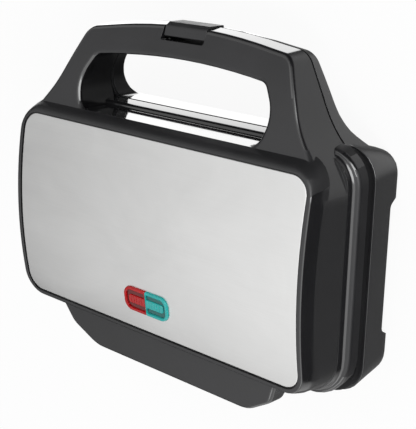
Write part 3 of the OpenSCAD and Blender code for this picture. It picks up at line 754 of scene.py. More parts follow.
def follow_underside(obj, shoulder, y0=-126.0, y1=-60.0):
    """Bends the foot of a mesh to the underside of the handle, and leaves its top as it is."""
    rows(obj, y0, y1, 3.0)
    lift_rows(obj, lambda y, z: (under_handle(y) - FLOOR_Z)
              * clamped((BASE_Z - z) / (BASE_Z - shoulder)))


def base_handle():
    levels = [(t, BASE_Z - z) for t, z in
              ((GROOVE, 0.0), (GROOVE, GROOVE_Z), (0.0, GROOVE_Z + 0.1))]
    levels += [(LEAN + t, z) for t, z in quarter_round(EDGE, FLOOR_Z + EDGE, -1)]
    obj = loft("base_handle", [(rounded(inset(lid_outline(), t)), z) for t, z in levels[::-1]])
    follow_underside(obj, FLOOR_Z + EDGE)
    return keep(obj, block("handle_end", -130, 130, -130, -67.0, 0, 60))


def base_grip():
    """The grip opening through the base half of the handle, flared along its underside."""
    loops = [(flared_grip(EDGE, BASE_GRIP_Y), FLOOR_Z - 12)]
    loops += [(flared_grip(t, BASE_GRIP_Y), z)
              for t, z in quarter_round(EDGE, FLOOR_Z + EDGE, -1)[::-1]]
    for flare, z in ((0.0, BASE_Z - GROOVE_Z - 0.1), (GROOVE, BASE_Z - GROOVE_Z),
                     (GROOVE, BASE_Z + 6)):
        loops.append((flared_grip(flare, BASE_GRIP_Y, flare), z))
    obj = loft("base_grip", loops)
    follow_underside(obj, FLOOR_Z + EDGE, -112.0, -60.0)
    return obj


BASE_HALF_X, FOOT_HALF_X, FOOT_Z, DRAFT = 126.9, 123.4, 1.9, 0.132
# Drafted wall of the base: height, front, rear, and the radii of the front and rear corners
BASE_WALL = [(FOOT_Z, -63.9, 73.2, 12.7, 17.8), (6.0, -65.4, 73.6, 13.8, 18.0),
             (11.2, -66.9, 74.0, 15.1, 18.2), (17.0, -68.2, 74.5, 16.5, 18.5),
             (23.0, -69.3, 75.0, 17.7, 18.8), (BAND_Z - 0.6, -69.9, 75.5, 18.7, 19.0)]


def base_level(z, front, rear, r0, r1, t=0.0):
    """Outline of the base at a height, moved inwards by t."""
    x = min(BASE_HALF_X, FOOT_HALF_X + (z - FOOT_Z) * DRAFT)
    return rounded(box_outline(x - t, front + t, rear - t, r0 - t, r1 - t)), z


def base_tub():
    """The wall of the base, drawn down to the feet, and rounded there and along the band."""
    foot = [base_level(z, *BASE_WALL[0][1:], t) for z, t in ((1.2, 0.8), (1.4, 0.3))]
    edge = [base_level(BAND_Z - z, *BASE_WALL[-1][1:], t)
            for z, t in ((0.2, 0.12), (0.05, 0.3), (0, 0.6))]
    return loft("base_case", foot + [base_level(*step) for step in BASE_WALL] + edge)


def base_room():
    """The room in the base, a wall's thickness inside the drafted wall."""
    inner = [base_level(*step, BASE_SKIN) for step in BASE_WALL[2:]]
    return loft("room", [(inner[0][0], 10.5)] + inner[1:] + [(inner[-1][0], 60)])


LEG_X, LEG_Y0, LEG_Y1 = 101.5, -34.1, 40.5
# Height and spread of the legs' inner sides
LEG_SIDES = [(-3.0, 4.5), (1.2, 4.5), (1.9, 3.8), (6.2, 1.4), (7.4, 0.4), (FLOOR_Z, -1.2)]


def between_legs():
    """The room under the floor, open to all four sides between the legs."""
    along = [([(-x, -110), (x, -110), (x, 110), (-x, 110)], z)
             for x, z in ((LEG_X + out, z) for z, out in LEG_SIDES)]
    across = [([(-140, y0), (140, y0), (140, y1), (-140, y1)], z)
              for y0, y1, z in ((LEG_Y0 - out, LEG_Y1 + out, z) for z, out in LEG_SIDES)]
    return loft("along", along), loft("across", across)


# Pads: place of each, and half sizes and corner radius
PAD_PLACES = [(-115.5, -50.1), (-115.5, 56.5), (115.5, -50.1), (115.5, 56.5)]
PAD_X, PAD_Y, PAD_R = 6, 9, 4


def pad_seat(x, y, gap):
    corners = box_outline(PAD_X + gap, -PAD_Y - gap, PAD_Y + gap, PAD_R, PAD_R)
    obj = prism("pad_seat", corners, -2, 2.9, 6)
    pick(obj)
    obj.location = (x * MM, y * MM, 0)
    apply_place()
    return obj


BASE_KNUCKLE = [(BASE_Y1 - WALL, FLOOR_Z + 6), (BASE_Y1, FLOOR_Z + 6),
                (HINGE_Y + KNUCKLE_R, HINGE_Z - 2), (HINGE_Y + KNUCKLE_R - 0.5, HINGE_Z),
                (HINGE_Y - KNUCKLE_R + 0.9, HINGE_Z), (BASE_Y1, BAND_Z), (BASE_Y1 - WALL, BAND_Z)]
MID_Y = (FRONT_Y + REAR_Y) / 2
VENT_X, VENT_L, VENT_W, VENT_PITCH = 50.6, 44.0, 4.0, 11.0
SCREW_PLACES = [(x, y) for x in (-115.0, 115.0) for y in (MID_Y - 30.0, MID_Y + 30.0)]
BOSS_R, WELL_R, SHANK_R = 5, 3.6, 1.85
GLAND_R, GLAND_X, GLAND_Z = 5.05, 99, 18


def make_base_case():
    case = base_tub()
    cut(case, *between_legs())
    add(case, base_handle())
    band = block("above_band", -140, 140, -80, 100, BAND_Z + 0.02, 60)
    handle_place = prism("handle_place", lid_outline(), BAND_Z - 1, 61)
    cut(band, keep(handle_place, block("handle_end", -130, 130, -130, -68.6, 0, 90)))
    cut(case, band)
    handle_room = prism("handle_room", inset(lid_outline(), HANDLE_SKIN), 28.2, 60, 3)
    grip_wall = prism("grip_wall", inset(grip_outline(), -GRIP_SKIN), 20, 70, 3)
    cut(handle_room, grip_wall, block("rear", -140, 140, FRONT_Y, 120, 0, 90),
        block("catch_wall", *CLIP_ROOM, 20, 60))
    cut(case, base_room(), handle_room)
    for x, y in SCREW_PLACES:
        add(case, rod("boss", BOSS_R, x, y, 18.5, 17.4, UPRIGHT, 32))
    cut(case, base_grip())
    cut(case, block("catch_notch", -NOTCH_X, NOTCH_X, -128, CATCH_Y, PART_Z - 6, 60),
        block("catch_pocket", -NOTCH_X, NOTCH_X, -128, CATCH_Y + 2.5, PART_Z - 6,
              BASE_Z - CATCH_THICK))
    add(case, *knuckles("base_knuckle", KNUCKLE_X + KNUCKLE_W + KNUCKLE_GAP,
                        KNUCKLE_X + KNUCKLE_W * 2 + KNUCKLE_GAP, BASE_KNUCKLE))
    for x, y in SCREW_PLACES:
        cut(case, rod("well", WELL_R, x, y, 8, 17, UPRIGHT, 40),
            rod("shank", SHANK_R, x, y, 25, 30, UPRIGHT, 24))
    slot = box_outline(VENT_L / 2, -VENT_W / 2, VENT_W / 2, 1.9, 1.9)
    for side in (-1, 1):
        cut(case, knuckle_swing(side * (KNUCKLE_X + KNUCKLE_W / 2), KNUCKLE_W + KNUCKLE_GAP * 2))
        for i in range(-2, 3):
            cut(case, prism("vent", [(x + side * VENT_X, y + MID_Y + i * VENT_PITCH, r)
                                     for x, y, r in slot], 4, 14, 4))
    cut(case, rod("gland_seat", GLAND_R, GLAND_X, BASE_Y1, GLAND_Z, 12, ALONG_Y))
    for x, y in PAD_PLACES:
        cut(case, pad_seat(x, y, 0.1))
    tidy_mesh(case)
    return case


def make_pads():
    """Four rubber pads: one is modelled, and the others are copies of it."""
    loops = []
    for t, z in [(0.7, 0.0), (0.2, 0.15), (0.0, 0.6), (0.0, 2.8)]:
        corners = box_outline(PAD_X - t, -PAD_Y + t, PAD_Y - t, PAD_R - t, PAD_R - t)
        loops.append((rounded(corners, 5), z))
    first = loft("pads", loops)
    for i in range(-3, 4):
        cut(first, block("tread", -5, 5, i * 2.6 - 0.5, i * 2.6 + 0.5, -1, 0.45))
    pads = [first]
    for _ in PAD_PLACES[1:]:
        pick(first)
        bpy.ops.object.duplicate(linked=False)
        pads.append(bpy.context.object)
    for pad, (x, y) in zip(pads, PAD_PLACES):
        pad.location = (x * MM, y * MM, 0)
    deselect()
    for pad in pads:
        pad.select_set(True)
    bpy.context.view_layer.objects.active = pads[0]
    bpy.ops.object.join()
    apply_place()
    tidy_mesh(pads[0], 40)
    return pads[0]


# ---- Finishes ----


def hex_colour(code):
    """A colour written as six hex digits, as the linear values that shaders take."""
    def lin(v):
        v /= 255
        return v / 12.92 if v <= 0.04045 else ((v + 0.055) / 1.055) ** 2.4
    return tuple(lin(int(code[i:i + 2], 16)) for i in (0, 2, 4)) + (1.0,)


def shade(colour, factor=1.0):
    """A colour made lighter or darker, with full alpha."""
    return tuple(c * factor for c in colour[:3]) + (1.0,)


def math_node(tree, a, b, operation="ADD"):
    """One step of arithmetic on two numbers or outputs."""
    node = tree.nodes.new("ShaderNodeMath")
    node.operation = operation
    for value, socket in ((a, node.inputs[0]), (b, node.inputs[1])):
        if isinstance(value, (int, float)):
            socket.default_value = value
        else:
            tree.links.new(value, socket)
    return node.outputs[0]


def range_node(tree, value, start, end, low, high, kind="LINEAR"):
    """Maps the output between start and end to the numbers from low to high."""
    node = tree.nodes.new("ShaderNodeMapRange")
    node.interpolation_type = kind
    tree.links.new(value, node.inputs["Value"])
    for key, v in (("From Min", start), ("From Max", end), ("To Min", low), ("To Max", high)):
        node.inputs[key].default_value = v
    return node.outputs["Result"]


class Finish:
    """A node material on Object coordinates, built up one node at a time."""

    def __init__(self, name):
        self.material = bpy.data.materials.new(name)
        self.material.use_nodes = True
        self.tree = self.material.node_tree
        self.shader = self.tree.nodes["Principled BSDF"]
        self.coords = self.tree.nodes.new("ShaderNodeTexCoord").outputs["Object"]

    def node(self, kind, **settings):
        node = self.tree.nodes.new(kind)
        for key, value in settings.items():
            if hasattr(node, key):
                setattr(node, key, value)
            else:
                node.inputs[key].default_value = value
        return node

    def link(self, a, b):
        self.tree.links.new(a, b)

    def set(self, **values):
        for key, value in values.items():
            self.shader.inputs[key.replace("_", " ")].default_value = value
        return self

    def noise(self, scale, detail=3.0, rough=0.55, stretch=(1, 1, 1), distortion=0.0):
        """Noise with a grain of 1 / scale metres, stretched along the axes."""
        mapping = self.node("ShaderNodeMapping", Scale=stretch)
        self.link(self.coords, mapping.inputs["Vector"])
        noise = self.node("ShaderNodeTexNoise", Scale=scale, Detail=detail, Roughness=rough,
                          Distortion=distortion)
        self.link(mapping.outputs["Vector"], noise.inputs["Vector"])
        return noise.outputs["Fac"]

    def span(self, value, low, high, start=0.3, end=0.7):
        """Maps a 0 to 1 value to a range of numbers."""
        return range_node(self.tree, value, start, end, low, high)

    def blend(self, value, a, b, start=0.35, end=0.65):
        """Blends two colours, or colour outputs, by a value."""
        node = self.node("ShaderNodeMix", data_type="RGBA")
        self.link(self.span(value, 0.0, 1.0, start, end), node.inputs["Factor"])
        for colour, socket in ((a, node.inputs[6]), (b, node.inputs[7])):
            if isinstance(colour, tuple):
                socket.default_value = colour
            else:
                self.link(colour, socket)
        return node.outputs[2]

    def colour(self, output):
        self.link(output, self.shader.inputs["Base Color"])
        return self

    def rough(self, output):
        self.link(output, self.shader.inputs["Roughness"])
        return self

    def bump(self, *layers, soften=0.0):
        """Bump from (height, strength, depth in mm) layers, with softened edges if asked."""
        normal = None
        if soften:
            bevel = self.node("ShaderNodeBevel", samples=4, Radius=soften * MM)
            normal = bevel.outputs["Normal"]
        for height, strength, depth in layers:
            node = self.node("ShaderNodeBump", Strength=strength, Distance=depth * MM)
            self.link(height, node.inputs["Height"])
            if normal is not None:
                self.link(normal, node.inputs["Normal"])
            normal = node.outputs["Normal"]
        if normal is not None:
            self.link(normal, self.shader.inputs["Normal"])
        return self

    def part(self, value, share):
        """A share of the value."""
        return math_node(self.tree, value, share, "MULTIPLY")

    def mixed(self, a, share_a, b, share_b):
        """Shares of two values, added."""
        return math_node(self.tree, self.part(a, share_a), self.part(b, share_b))

    def topped(self, a, b, share):
        """The whole of a value with a share of another on top."""
        return math_node(self.tree, a, self.part(b, share))


def moulded(name, colour, low, high, grain=0.5, lift=1.5, soften=0.35, coat=0.0, ior=1.5):
    """Moulded plastic: fine grain, flow marks and soft differences of gloss."""
    f = Finish(name)
    light = tuple(min(1, c * lift) for c in colour[:3]) + (1.0,)
    flow = f.noise(38, 4, 0.6, (1, 0.5, 1))
    speck = f.noise(2600, 2, 0.5)
    f.colour(f.blend(f.topped(flow, speck, 0.12), colour, light, 0.4, 0.75))
    f.rough(f.span(f.topped(flow, f.noise(420, 2), 0.3), low, high, 0.45, 0.85))
    f.bump((speck, 0.25 * grain, 0.05), (f.noise(900, 3, 0.6), 0.2 * grain, 0.06),
           (f.noise(26, 2), 0.12, 0.5), soften=soften)
    f.set(Coat_Weight=coat, Coat_Roughness=0.05, IOR=ior)
    return f.material


def brushed_steel(look):
    """Satin sheet brushed along its width, with soft clouds from rolling."""
    f = Finish("brushed_steel")
    streak = f.noise(260, 3, 0.65, (0.02, 9, 1))
    hair = f.noise(900, 2, 0.5, (0.03, 6, 1))
    cloud = f.noise(22, 4, 0.6, (0.6, 1, 1), 0.4)
    f.colour(f.blend(f.mixed(cloud, 0.75, streak, 0.25), shade(look.steel_colour, 0.86),
                     shade(look.steel_colour), 0.3, 0.7))
    f.rough(f.span(f.mixed(streak, 0.4, cloud, 0.6),
                   look.steel_rough - 0.05, look.steel_rough + 0.07, 0.3, 0.7))
    f.bump((streak, 0.10, 0.05), (hair, 0.12, 0.03))
    f.set(Metallic=1.0)
    return f.material


def bare_metal(name, colour, low, high, grain, stretch, dull):
    """Turned, drawn or pressed metal with a fine grain and duller patches."""
    f = Finish(name)
    patch = f.noise(90, 4, 0.6)
    fine = f.noise(grain, 3, 0.6, stretch)
    f.colour(f.blend(patch, shade(colour, dull), colour, 0.35, 0.65))
    f.rough(f.span(f.mixed(patch, 0.5, fine, 0.5), low, high))
    f.bump((fine, 0.2, 0.05), soften=0.25)
    f.set(Metallic=1.0)
    return f.material


def non_stick(look):
    """Sprayed coating with an orange-peel skin, tiny pale specks and rubbed patches."""
    f = Finish("non_stick_coating")
    speck = f.noise(1900, 1, 0.4)
    peel = f.noise(620, 2, 0.5)
    worn = f.noise(30, 4, 0.6)
    pale = tuple(min(1, c * 3.2 + 0.02) for c in look.coating_colour) + (1.0,)
    body = f.blend(worn, shade(look.coating_colour), shade(look.coating_colour, 1.6), 0.4, 0.75)
    f.colour(f.blend(speck, body, pale, 0.66, 0.74))
    f.rough(f.span(worn, 0.26, 0.42))
    f.bump((peel, 0.25, 0.12), (speck, 0.1, 0.04), soften=0.5)
    return f.material


def lamp_plastic(name, colour, glow):
    """Tinted clear plastic with a faint emitted glow: on the bulb glass it is the lamp's own light,
    and on the windows it is a painted glow.
    """
    f = Finish(name)
    swirl = f.noise(300, 3, 0.6)
    f.colour(f.blend(swirl, shade(colour, 0.8), shade(colour), 0.3, 0.7))
    f.rough(f.span(f.noise(700, 2), 0.06, 0.16))
    f.bump((f.noise(500, 2), 0.08, 0.05), soften=0.15)
    f.set(Transmission_Weight=0.4, IOR=1.36, Coat_Weight=0.1, Coat_Roughness=0.03,
          Emission_Color=shade(colour), Emission_Strength=glow)
    return f.material


def soft_rubber(name):
    f = Finish(name)
    dust = f.noise(120, 4, 0.7)
    f.colour(f.blend(dust, hex_colour("161616"), hex_colour("3A3938"), 0.4, 0.8))
    f.rough(f.span(dust, 0.62, 0.85))
    f.bump((f.noise(1500, 3, 0.6), 0.4, 0.08), soften=0.3)
    return f.material


def woven_sleeve(name, a, b):
    """Braided glass sleeve of a lead, drawn as crossing strands."""
    f = Finish(name)
    wave = f.node("ShaderNodeTexWave", wave_type="BANDS", bands_direction="DIAGONAL",
                  Scale=420, Distortion=1.5)
    f.link(f.coords, wave.inputs["Vector"])
    f.colour(f.blend(wave.outputs["Fac"], a, b, 0.3, 0.7))
    f.rough(f.span(wave.outputs["Fac"], 0.55, 0.8))
    f.bump((wave.outputs["Fac"], 0.5, 0.15))
    return f.material


def ceramic(name, a, b):
    """Unglazed ceramic or moulded resin with a chalky face."""
    f = Finish(name)
    grain = f.noise(500, 4, 0.6)
    f.colour(f.blend(f.noise(60, 3), a, b, 0.35, 0.65))
    f.rough(f.span(grain, 0.5, 0.75))
    f.bump((grain, 0.25, 0.08), soften=0.3)
    return f.material


# ---- Sizes and colours that can be changed ----


def colour_property(name, description, default):
    return bpy.props.FloatVectorProperty(
        name=name, description=description, subtype="COLOR", size=3, min=0, max=1, default=default)


def share_property(name, description, low, default):
    return bpy.props.FloatProperty(
        name=name, description=description, min=low, max=1, default=default, subtype="FACTOR")


def power_property(name, description, default):
    return bpy.props.FloatProperty(
        name=name, description=description, min=0, max=500, default=default, unit="POWER")


class ToasterLook(bpy.types.PropertyGroup):
    """Colours and roughness of the finishes"""

    plastic_colour: colour_property(
        "Plastic", "Colour of the black casing plastic", (0.011, 0.011, 0.012))
    satin_rough: share_property(
        "Satin roughness", "Mean roughness of the textured faces", 0.05, 0.40)
    gloss_rough: share_property(
        "Gloss roughness", "Mean roughness of the polished walls and edges", 0.02, 0.09)
    steel_colour: colour_property("Steel", "Colour of the brushed panel", (0.64, 0.64, 0.635))
    steel_rough: share_property(
        "Steel roughness", "Mean roughness of the brushed panel", 0.05, 0.34)
    red_colour: colour_property(
        "Red window", "Colour of the power lamp's window", (0.52, 0.004, 0.006))
    green_colour: colour_property(
        "Green window", "Colour of the ready lamp's window", (0.03, 0.50, 0.48))
    coating_colour: colour_property(
        "Coating", "Colour of the non-stick coating", (0.022, 0.022, 0.023))


class ToasterStage(bpy.types.PropertyGroup):
    """Floor, lights and camera of the stage"""

    floor_size: bpy.props.FloatProperty(
        name="Floor", description="Side of the square floor", min=1, max=40, default=12.0,
        unit="LENGTH")
    floor_colour: colour_property("Floor colour", "Colour of the floor", (0.86, 0.86, 0.86))
    key_power: power_property("Key light", "Power of the large soft light over the handle", 8.0)
    fill_power: power_property("Fill light", "Power of the soft light on the camera's side", 3.0)
    sky_level: bpy.props.FloatProperty(
        name="Sky", description="Level of the plain sky round the stage", min=0, max=2,
        default=0.6)
    backdrop: share_property(
        "Backdrop", "Share of plain white in the floor that the camera sees", 0, 0.93)
    lens: bpy.props.FloatProperty(
        name="Lens", description="Focal length of the camera", min=20, max=300,
        default=89.36475524, subtype="DISTANCE_CAMERA")


# ---- Operators ----


def finish(name):
    material = bpy.data.materials.get(name)
    if material is None:
        raise RuntimeError(f"the finish {name} has not been made")
    return material


def dress(node, material):
    """Gives a frame node a finish in place of its plain one."""
    slots = frame["nodes"][node].material_slots
    if not slots:
        raise RuntimeError(f"{node} has no material slot")
    for slot in slots:
        slot.material = finish(material)


def vertical(f):
    return abs(f.normal.z) < 0.9


def middle(f):
    """The middle of a face in outline coordinates, in millimetres."""
    at = f.calc_center_median() / MM
    return at.x, at.y - SHIFT_Y, at.z


def on_lip(f):
    """The faces and the bead of the lip, but not its front along the grip opening."""
    x, y, z = middle(f)
    grip_end = GRIP_HALF + 5
    if f.normal.y < -0.9 and abs(x) < grip_end:
        return False
    return LIP_Z0 < z < LIP_Z1 + 0.1 and LIP_Y0 - 1 < y < LIP_Y1 + 1 and (
        abs(x) > LIP_X - 3.2 or y > LIP_Y1 - 3 or y < LIP_Y0 + 3 and abs(x) > grip_end)


def frame_slope(f):
    """The slope of the panel frame along the handle."""
    x, y, z = middle(f)
    return (abs(x) < PANEL_X + 6 and -70 < y < -50 and z > 55
            and f.normal.y < -0.25 and f.normal.z > 0.12)


def grip_side(f):
    """The ends of the grip opening, which face each other. They get a darker copy of the casing
    plastic as painted shade.
    """
    x, y, _ = middle(f)
    return (20 < abs(x) < GRIP_HALF + 0.5 and -112 < y < -66
            and f.normal.x * x < -0.25 * abs(x) and abs(f.normal.z) < 0.5)


def parting_groove(f):
    """The shadow groove along the top of the base half of the handle, which gets the darker plastic
    as a painted shadow line.
    """
    _, y, z = middle(f)
    return BASE_Z - GROOVE_Z - 0.15 < z < BASE_Z - 0.05 and y < -60


def on_hinge(f):
    """The knuckles behind the housing."""
    x, y, z = middle(f)
    return y > BASE_Y1 + 0.3 and z < 48 and abs(x) < COVER_HALF


def sunk_floor(f):
    """The floor round the bar of a lamp window, which gets a darker copy of the window plastic as
    painted shade.
    """
    x, y, z = middle(f)
    rise = math.hypot(y, z - ROLL_Z) - CROWN_R
    return abs(x) > 1.2 and 0.05 < rise < 0.5 and f.normal.z > 0.7


class TOASTER_OT_finishes(bpy.types.Operator):
    """Makes the finishes of the casings, the panel, the lamps and the inner parts"""

    bl_idname = "toaster.finishes"
    bl_label = "Finishes"

    def execute(self, context):
        look = context.scene.toaster_look
        black = shade(look.plastic_colour)
        satin, gloss = look.satin_rough, look.gloss_rough
        moulded("casing_satin", black, satin - 0.05, satin + 0.07, 1.0, 1.35)
        moulded("casing_gloss", black, gloss - 0.03, gloss + 0.04, 0.03, 1.2, coat=1.0, ior=1.55)
        # A darker copy of the casing plastic with weaker reflection, for the grip ends: painted
        # shade.
        moulded("grip_gloss", shade(black, 0.5), 0.14, 0.2, 0.03, 1.2, ior=1.33)
        # The casing plastic made darker, for the surrounds and the parting groove: painted shade.
        moulded("surround_plastic", shade(black, 0.6), 0.5, 0.62, 1.4, 1.5, ior=1.3)
        moulded("lamp_carrier", hex_colour("CFCBBD"), 0.38, 0.5, 0.6, 1.1)
        moulded("bush_plastic", black, 0.45, 0.6, 1.2, 1.6)
        moulded("terminal_resin", hex_colour("D8D3C4"), 0.35, 0.5, 0.5, 1.1)
        brushed_steel(look)
        for name, code, low, high, grain, stretch, dull in (
                ("element_tube", "6E6A63", 0.38, 0.6, 900, (1, 1, 1), 0.45),
                ("shield_sheet", "A9A9A5", 0.3, 0.45, 500, (0.05, 4, 1), 0.8),
                ("zinc_plating", "B9B7AE", 0.25, 0.4, 1200, (1, 1, 1), 0.75),
                ("pin_steel_bright", "C4C4C2", 0.15, 0.28, 1500, (1, 1, 1), 0.85)):
            bare_metal(name, hex_colour(code), low, high, grain, stretch, dull)
        non_stick(look)
        for name, colour in (("red", look.red_colour), ("green", look.green_colour)):
            # The windows glow faintly though they are not lamps: a painted glow.
            lamp_plastic(f"{name}_window_plastic", tuple(colour), 0.12)
            # A darker copy of the window plastic for the sunk floor: painted shade, with a fainter
            # painted glow.
            lamp_plastic(f"{name}_window_floor", tuple(c * 0.3 for c in colour), 0.03)
        lamp_plastic("lamp_bulb_glass", (0.8, 0.45, 0.25), 0.05)
        soft_rubber("pad_rubber")
        woven_sleeve("lead_sleeve", hex_colour("C9C2AE"), hex_colour("8E8875"))
        ceramic("thermostat_ceramic", hex_colour("D2CBBB"), hex_colour("B9B09C"))
        ceramic("fuse_sleeve", hex_colour("DEDBD0"), hex_colour("C7C3B4"))
        return {"FINISHED"}


class TOASTER_OT_lid_case(bpy.types.Operator):
    """Models the lid casing: handle half, walls, lip, panel frame and hinge cover"""

    bl_idname = "toaster.lid_case"
    bl_label = "Lid casing"

    def execute(self, context):
        case = make_lid_case()
        set_piece(case, "lid", "black_plastic", ["lid_shell"],
                  "casing_satin", "casing_gloss", "grip_gloss")
        paint(case, 1, vertical)
        paint(case, 0, on_lip)
        paint(case, 0, frame_slope)
        paint(case, 0, on_hinge)
        # The grip ends get the painted shade.
        paint(case, 2, grip_side)
        return {"FINISHED"}


class TOASTER_OT_panel(bpy.types.Operator):
    """Models the rolled steel panel"""

    bl_idname = "toaster.panel"
    bl_label = "Steel panel"

    def execute(self, context):
        set_piece(make_panel(), "lid", "steel", ["steel_panel"], "brushed_steel")
        return {"FINISHED"}


class TOASTER_OT_lamps(bpy.types.Operator):
    """Models the red and green windows of the lamps"""

    bl_idname = "toaster.lamps"
    bl_label = "Lamp windows"

    def execute(self, context):
        for colour, side in (("red", 1), ("green", -1)):
            lens = make_lens(f"{colour}_window", side)
            set_piece(lens, "lid", f"{colour}_lens", [f"{colour}_lens"],
                      f"{colour}_window_plastic", f"{colour}_window_floor")
            # The sunk floor gets the painted shade.
            paint(lens, 1, sunk_floor)
        return {"FINISHED"}


class TOASTER_OT_clip(bpy.types.Operator):
    """Models the clip that holds the handle halves together"""

    bl_idname = "toaster.clip"
    bl_label = "Clip"

    def execute(self, context):
        set_piece(make_clip(), "clip", "black_plastic", ["latch_clip"], "casing_satin")
        return {"FINISHED"}


class TOASTER_OT_base_case(bpy.types.Operator):
    """Models the base casing: handle half, walls, legs, vents and screw wells"""

    bl_idname = "toaster.base_case"
    bl_label = "Base casing"

    def execute(self, context):
        case = make_base_case()
        set_piece(case, "base", "black_plastic", ["base_shell"],
                  "casing_satin", "casing_gloss", "grip_gloss", "surround_plastic")
        paint(case, 1, vertical)
        # The grip ends get the painted shade.
        paint(case, 2, grip_side)
        # The parting groove gets the darker plastic: a painted shadow line.
        paint(case, 3, parting_groove)
        paint(case, 0, on_hinge)
        return {"FINISHED"}


class TOASTER_OT_pads(bpy.types.Operator):
    """Models the four rubber pads"""

    bl_idname = "toaster.pads"
    bl_label = "Foot pads"

    def execute(self, context):
        set_piece(make_pads(), "base", "rubber", ["feet"], "pad_rubber")
        return {"FINISHED"}


# Finish of each node that keeps its frame shape
INNER_FINISHES = {
    # The surrounds get the casing plastic made darker: painted shade.
    "surround_plastic": ("lid_surround", "base_surround"),
    "zinc_plating": ("lid_screws", "upper_screws", "base_screws", "lower_screws"),
    "non_stick_coating": ("upper_plate", "lower_plate"),
    "element_tube": ("upper_element", "lower_element"),
    "shield_sheet": ("upper_clamp", "upper_shield", "lower_clamp", "lower_shield"),
    "lead_sleeve": ("lid_leads", "base_leads"),
    "pin_steel_bright": ("latch_pin", "hinge_pins"),
    "lamp_carrier": ("lamp_holder",), "lamp_bulb_glass": ("neon_lamps",),
    "thermostat_ceramic": ("thermostat",), "fuse_sleeve": ("thermal_fuse",),
    "terminal_resin": ("terminal_block",), "bush_plastic": ("cord_gland",)}


class TOASTER_OT_inner_parts(bpy.types.Operator):
    """Gives the parts that keep their frame shape their finishes"""

    bl_idname = "toaster.inner_parts"
    bl_label = "Inner parts"

    def execute(self, context):
        for material, nodes in INNER_FINISHES.items():
            for node in nodes:
                dress(node, material)
        return {"FINISHED"}


def area_light(name, at, size, power):
    """A soft light turned to the middle of the object, which polished faces don't mirror."""
    deselect()
    bpy.ops.object.light_add(type="AREA", location=at)
    lamp = fresh(name)
    lamp.data.shape = "RECTANGLE"
    lamp.data.size, lamp.data.size_y = size
    lamp.data.energy = power
    lamp.visible_glossy = False
    lamp.rotation_euler = (Vector(LAMP_AIM) - Vector(at)).to_track_quat("-Z", "Y").to_euler()


def backdrop(f, share):
    """Shows the floor to the camera mostly as plain white, with a share of its shading left."""
    seen = f.node("ShaderNodeLightPath").outputs["Is Camera Ray"]
    white = f.node("ShaderNodeEmission")
    mix = f.node("ShaderNodeMixShader")
    f.link(f.part(seen, share), mix.inputs[0])
    f.link(f.shader.outputs[0], mix.inputs[1])
    f.link(white.outputs[0], mix.inputs[2])
    f.link(mix.outputs[0], f.tree.nodes["Material Output"].inputs["Surface"])


LAMP_AIM = (0, 0, 0.03)
CAMERA_AT = (-0.42968228, -0.18767965, 0.49657773)
CAMERA_TURN = (-16.168432479725897, 42.482392955678755, -178.49612621064486)
SENSOR_WIDTH, CLIP_START = 36, 0.01

# Cards of the studio as polished faces mirror them: direction, cosines of edge and core, level,
# and the heights between which the card sets in
CARDS = [((0.66, -0.24, -0.708), 0.915, 0.94, 1.75, (-0.80, -0.775)),
         ((-0.41, 0.40, 0.82), 0.0, 0.62, 1.45, (0.15, 0.4)),
         ((-0.62, -0.42, 0.66), 0.88, 0.95, 4.0, (-2, -1)),
         ((-0.45, -0.5, -0.74), 0.7, 0.95, 0.35, (-2, -1)),
         ((0.62, -0.55, 0.55), 0.75, 0.95, 0.55, (-2, -1)),
         ((-0.1, 1.0, 0.0), 0.72, 0.9, 0.6, (-2, -1))]


def studio(tree, sky):
    """Plain sky for the diffuse light, white for the camera, and cards for the reflections."""
    def ramp(value, *ends):
        return range_node(tree, value, *ends, "SMOOTHSTEP")

    way = tree.nodes.new("ShaderNodeTexCoord").outputs["Generated"]
    height = tree.nodes.new("ShaderNodeSeparateXYZ")
    tree.links.new(way, height.inputs[0])
    up = height.outputs["Z"]
    level = math_node(tree, ramp(up, -0.62, -0.35, 0.13, 0.02), ramp(up, 0.25, 0.6, 0.0, 0.1))
    for at, edge, core, power, (foot, full) in CARDS:
        dot = tree.nodes.new("ShaderNodeVectorMath")
        dot.operation = "DOT_PRODUCT"
        tree.links.new(way, dot.inputs[0])
        dot.inputs[1].default_value = Vector(at).normalized()
        card = ramp(dot.outputs["Value"], edge, core, 0.0, power)
        shown = math_node(tree, card, ramp(up, foot, full, 0, 1), "MULTIPLY")
        level = math_node(tree, level, shown)
    path = tree.nodes.new("ShaderNodeLightPath")
    mirrored, seen = path.outputs["Is Glossy Ray"], path.outputs["Is Camera Ray"]
    rest = math_node(tree, 1.0, mirrored, "SUBTRACT")
    plain = math_node(tree, sky, math_node(tree, seen, 1.0 - sky, "MULTIPLY"))
    total = math_node(tree, math_node(tree, level, mirrored, "MULTIPLY"),
                      math_node(tree, plain, rest, "MULTIPLY"))
    background = tree.nodes["Background"]
    tree.links.new(total, background.inputs["Strength"])
    background.inputs["Color"].default_value = (1, 1, 1, 1)


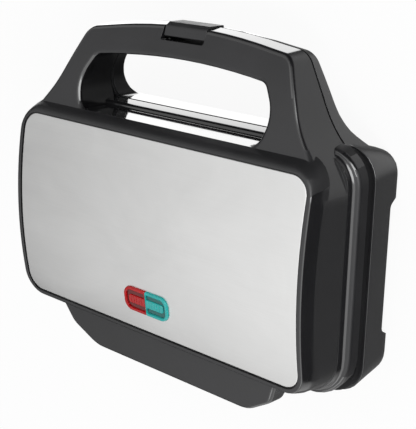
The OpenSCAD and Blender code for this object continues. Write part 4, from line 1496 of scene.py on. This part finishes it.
class TOASTER_OT_stage(bpy.types.Operator):
    """Sets the floor, the sky, the soft lights and the camera"""

    bl_idname = "toaster.stage"
    bl_label = "Stage"

    def execute(self, context):
        stage = context.scene.toaster_stage
        deselect()
        bpy.ops.mesh.primitive_plane_add(size=stage.floor_size, location=(0, 0, 0))
        floor = fresh("floor")
        f = Finish("floor_card")
        f.colour(f.blend(f.noise(3, 3), shade(stage.floor_colour, 0.985),
                         shade(stage.floor_colour), 0.3, 0.7))
        f.set(Roughness=0.9)
        backdrop(f, stage.backdrop)
        floor.data.materials.append(f.material)
        floor.visible_glossy = False

        world = bpy.data.worlds.new("studio")
        world.use_nodes = True
        context.scene.world = world
        studio(world.node_tree, stage.sky_level)

        area_light("key_light", (-0.95, 0.35, 0.85), (0.3, 0.9), stage.key_power)
        area_light("fill_light", (0.2, -1.1, 1.1), (0.8, 0.5), stage.fill_power)

        deselect()
        bpy.ops.object.camera_add(location=CAMERA_AT,
                                  rotation=[math.radians(a) for a in CAMERA_TURN])
        camera = fresh("main_camera")
        camera.data.lens = stage.lens
        camera.data.sensor_width = SENSOR_WIDTH
        camera.data.clip_start = CLIP_START
        context.scene.camera = camera
        context.scene.view_settings.view_transform = "Standard"
        return {"FINISHED"}


class TOASTER_PT_sidebar(bpy.types.Panel):
    """Lists the steps that build the toaster"""

    bl_idname = "TOASTER_PT_sidebar"
    bl_label = "Sandwich Toaster"
    bl_space_type = "VIEW_3D"
    bl_region_type = "UI"
    bl_category = "Toaster"

    def draw(self, context):
        for group in (context.scene.toaster_look, context.scene.toaster_stage):
            for key in type(group).__annotations__:
                self.layout.prop(group, key)
        for step in STEPS:
            self.layout.operator(step.bl_idname)


STEPS = (TOASTER_OT_finishes, TOASTER_OT_stage, TOASTER_OT_lid_case, TOASTER_OT_panel,
         TOASTER_OT_lamps, TOASTER_OT_clip, TOASTER_OT_base_case, TOASTER_OT_pads,
         TOASTER_OT_inner_parts)
CLASSES = (ToasterLook, ToasterStage) + STEPS + (TOASTER_PT_sidebar,)


def register():
    for cls in CLASSES:
        bpy.utils.register_class(cls)
    bpy.types.Scene.toaster_look = bpy.props.PointerProperty(type=ToasterLook)
    bpy.types.Scene.toaster_stage = bpy.props.PointerProperty(type=ToasterStage)


def unregister():
    del bpy.types.Scene.toaster_stage
    del bpy.types.Scene.toaster_look
    for cls in reversed(CLASSES):
        bpy.utils.unregister_class(cls)


def main():
    register()
    for step in STEPS:
        group, name = step.bl_idname.split(".")
        getattr(getattr(bpy.ops, group), name)()


if __name__ == "__main__":
    main()
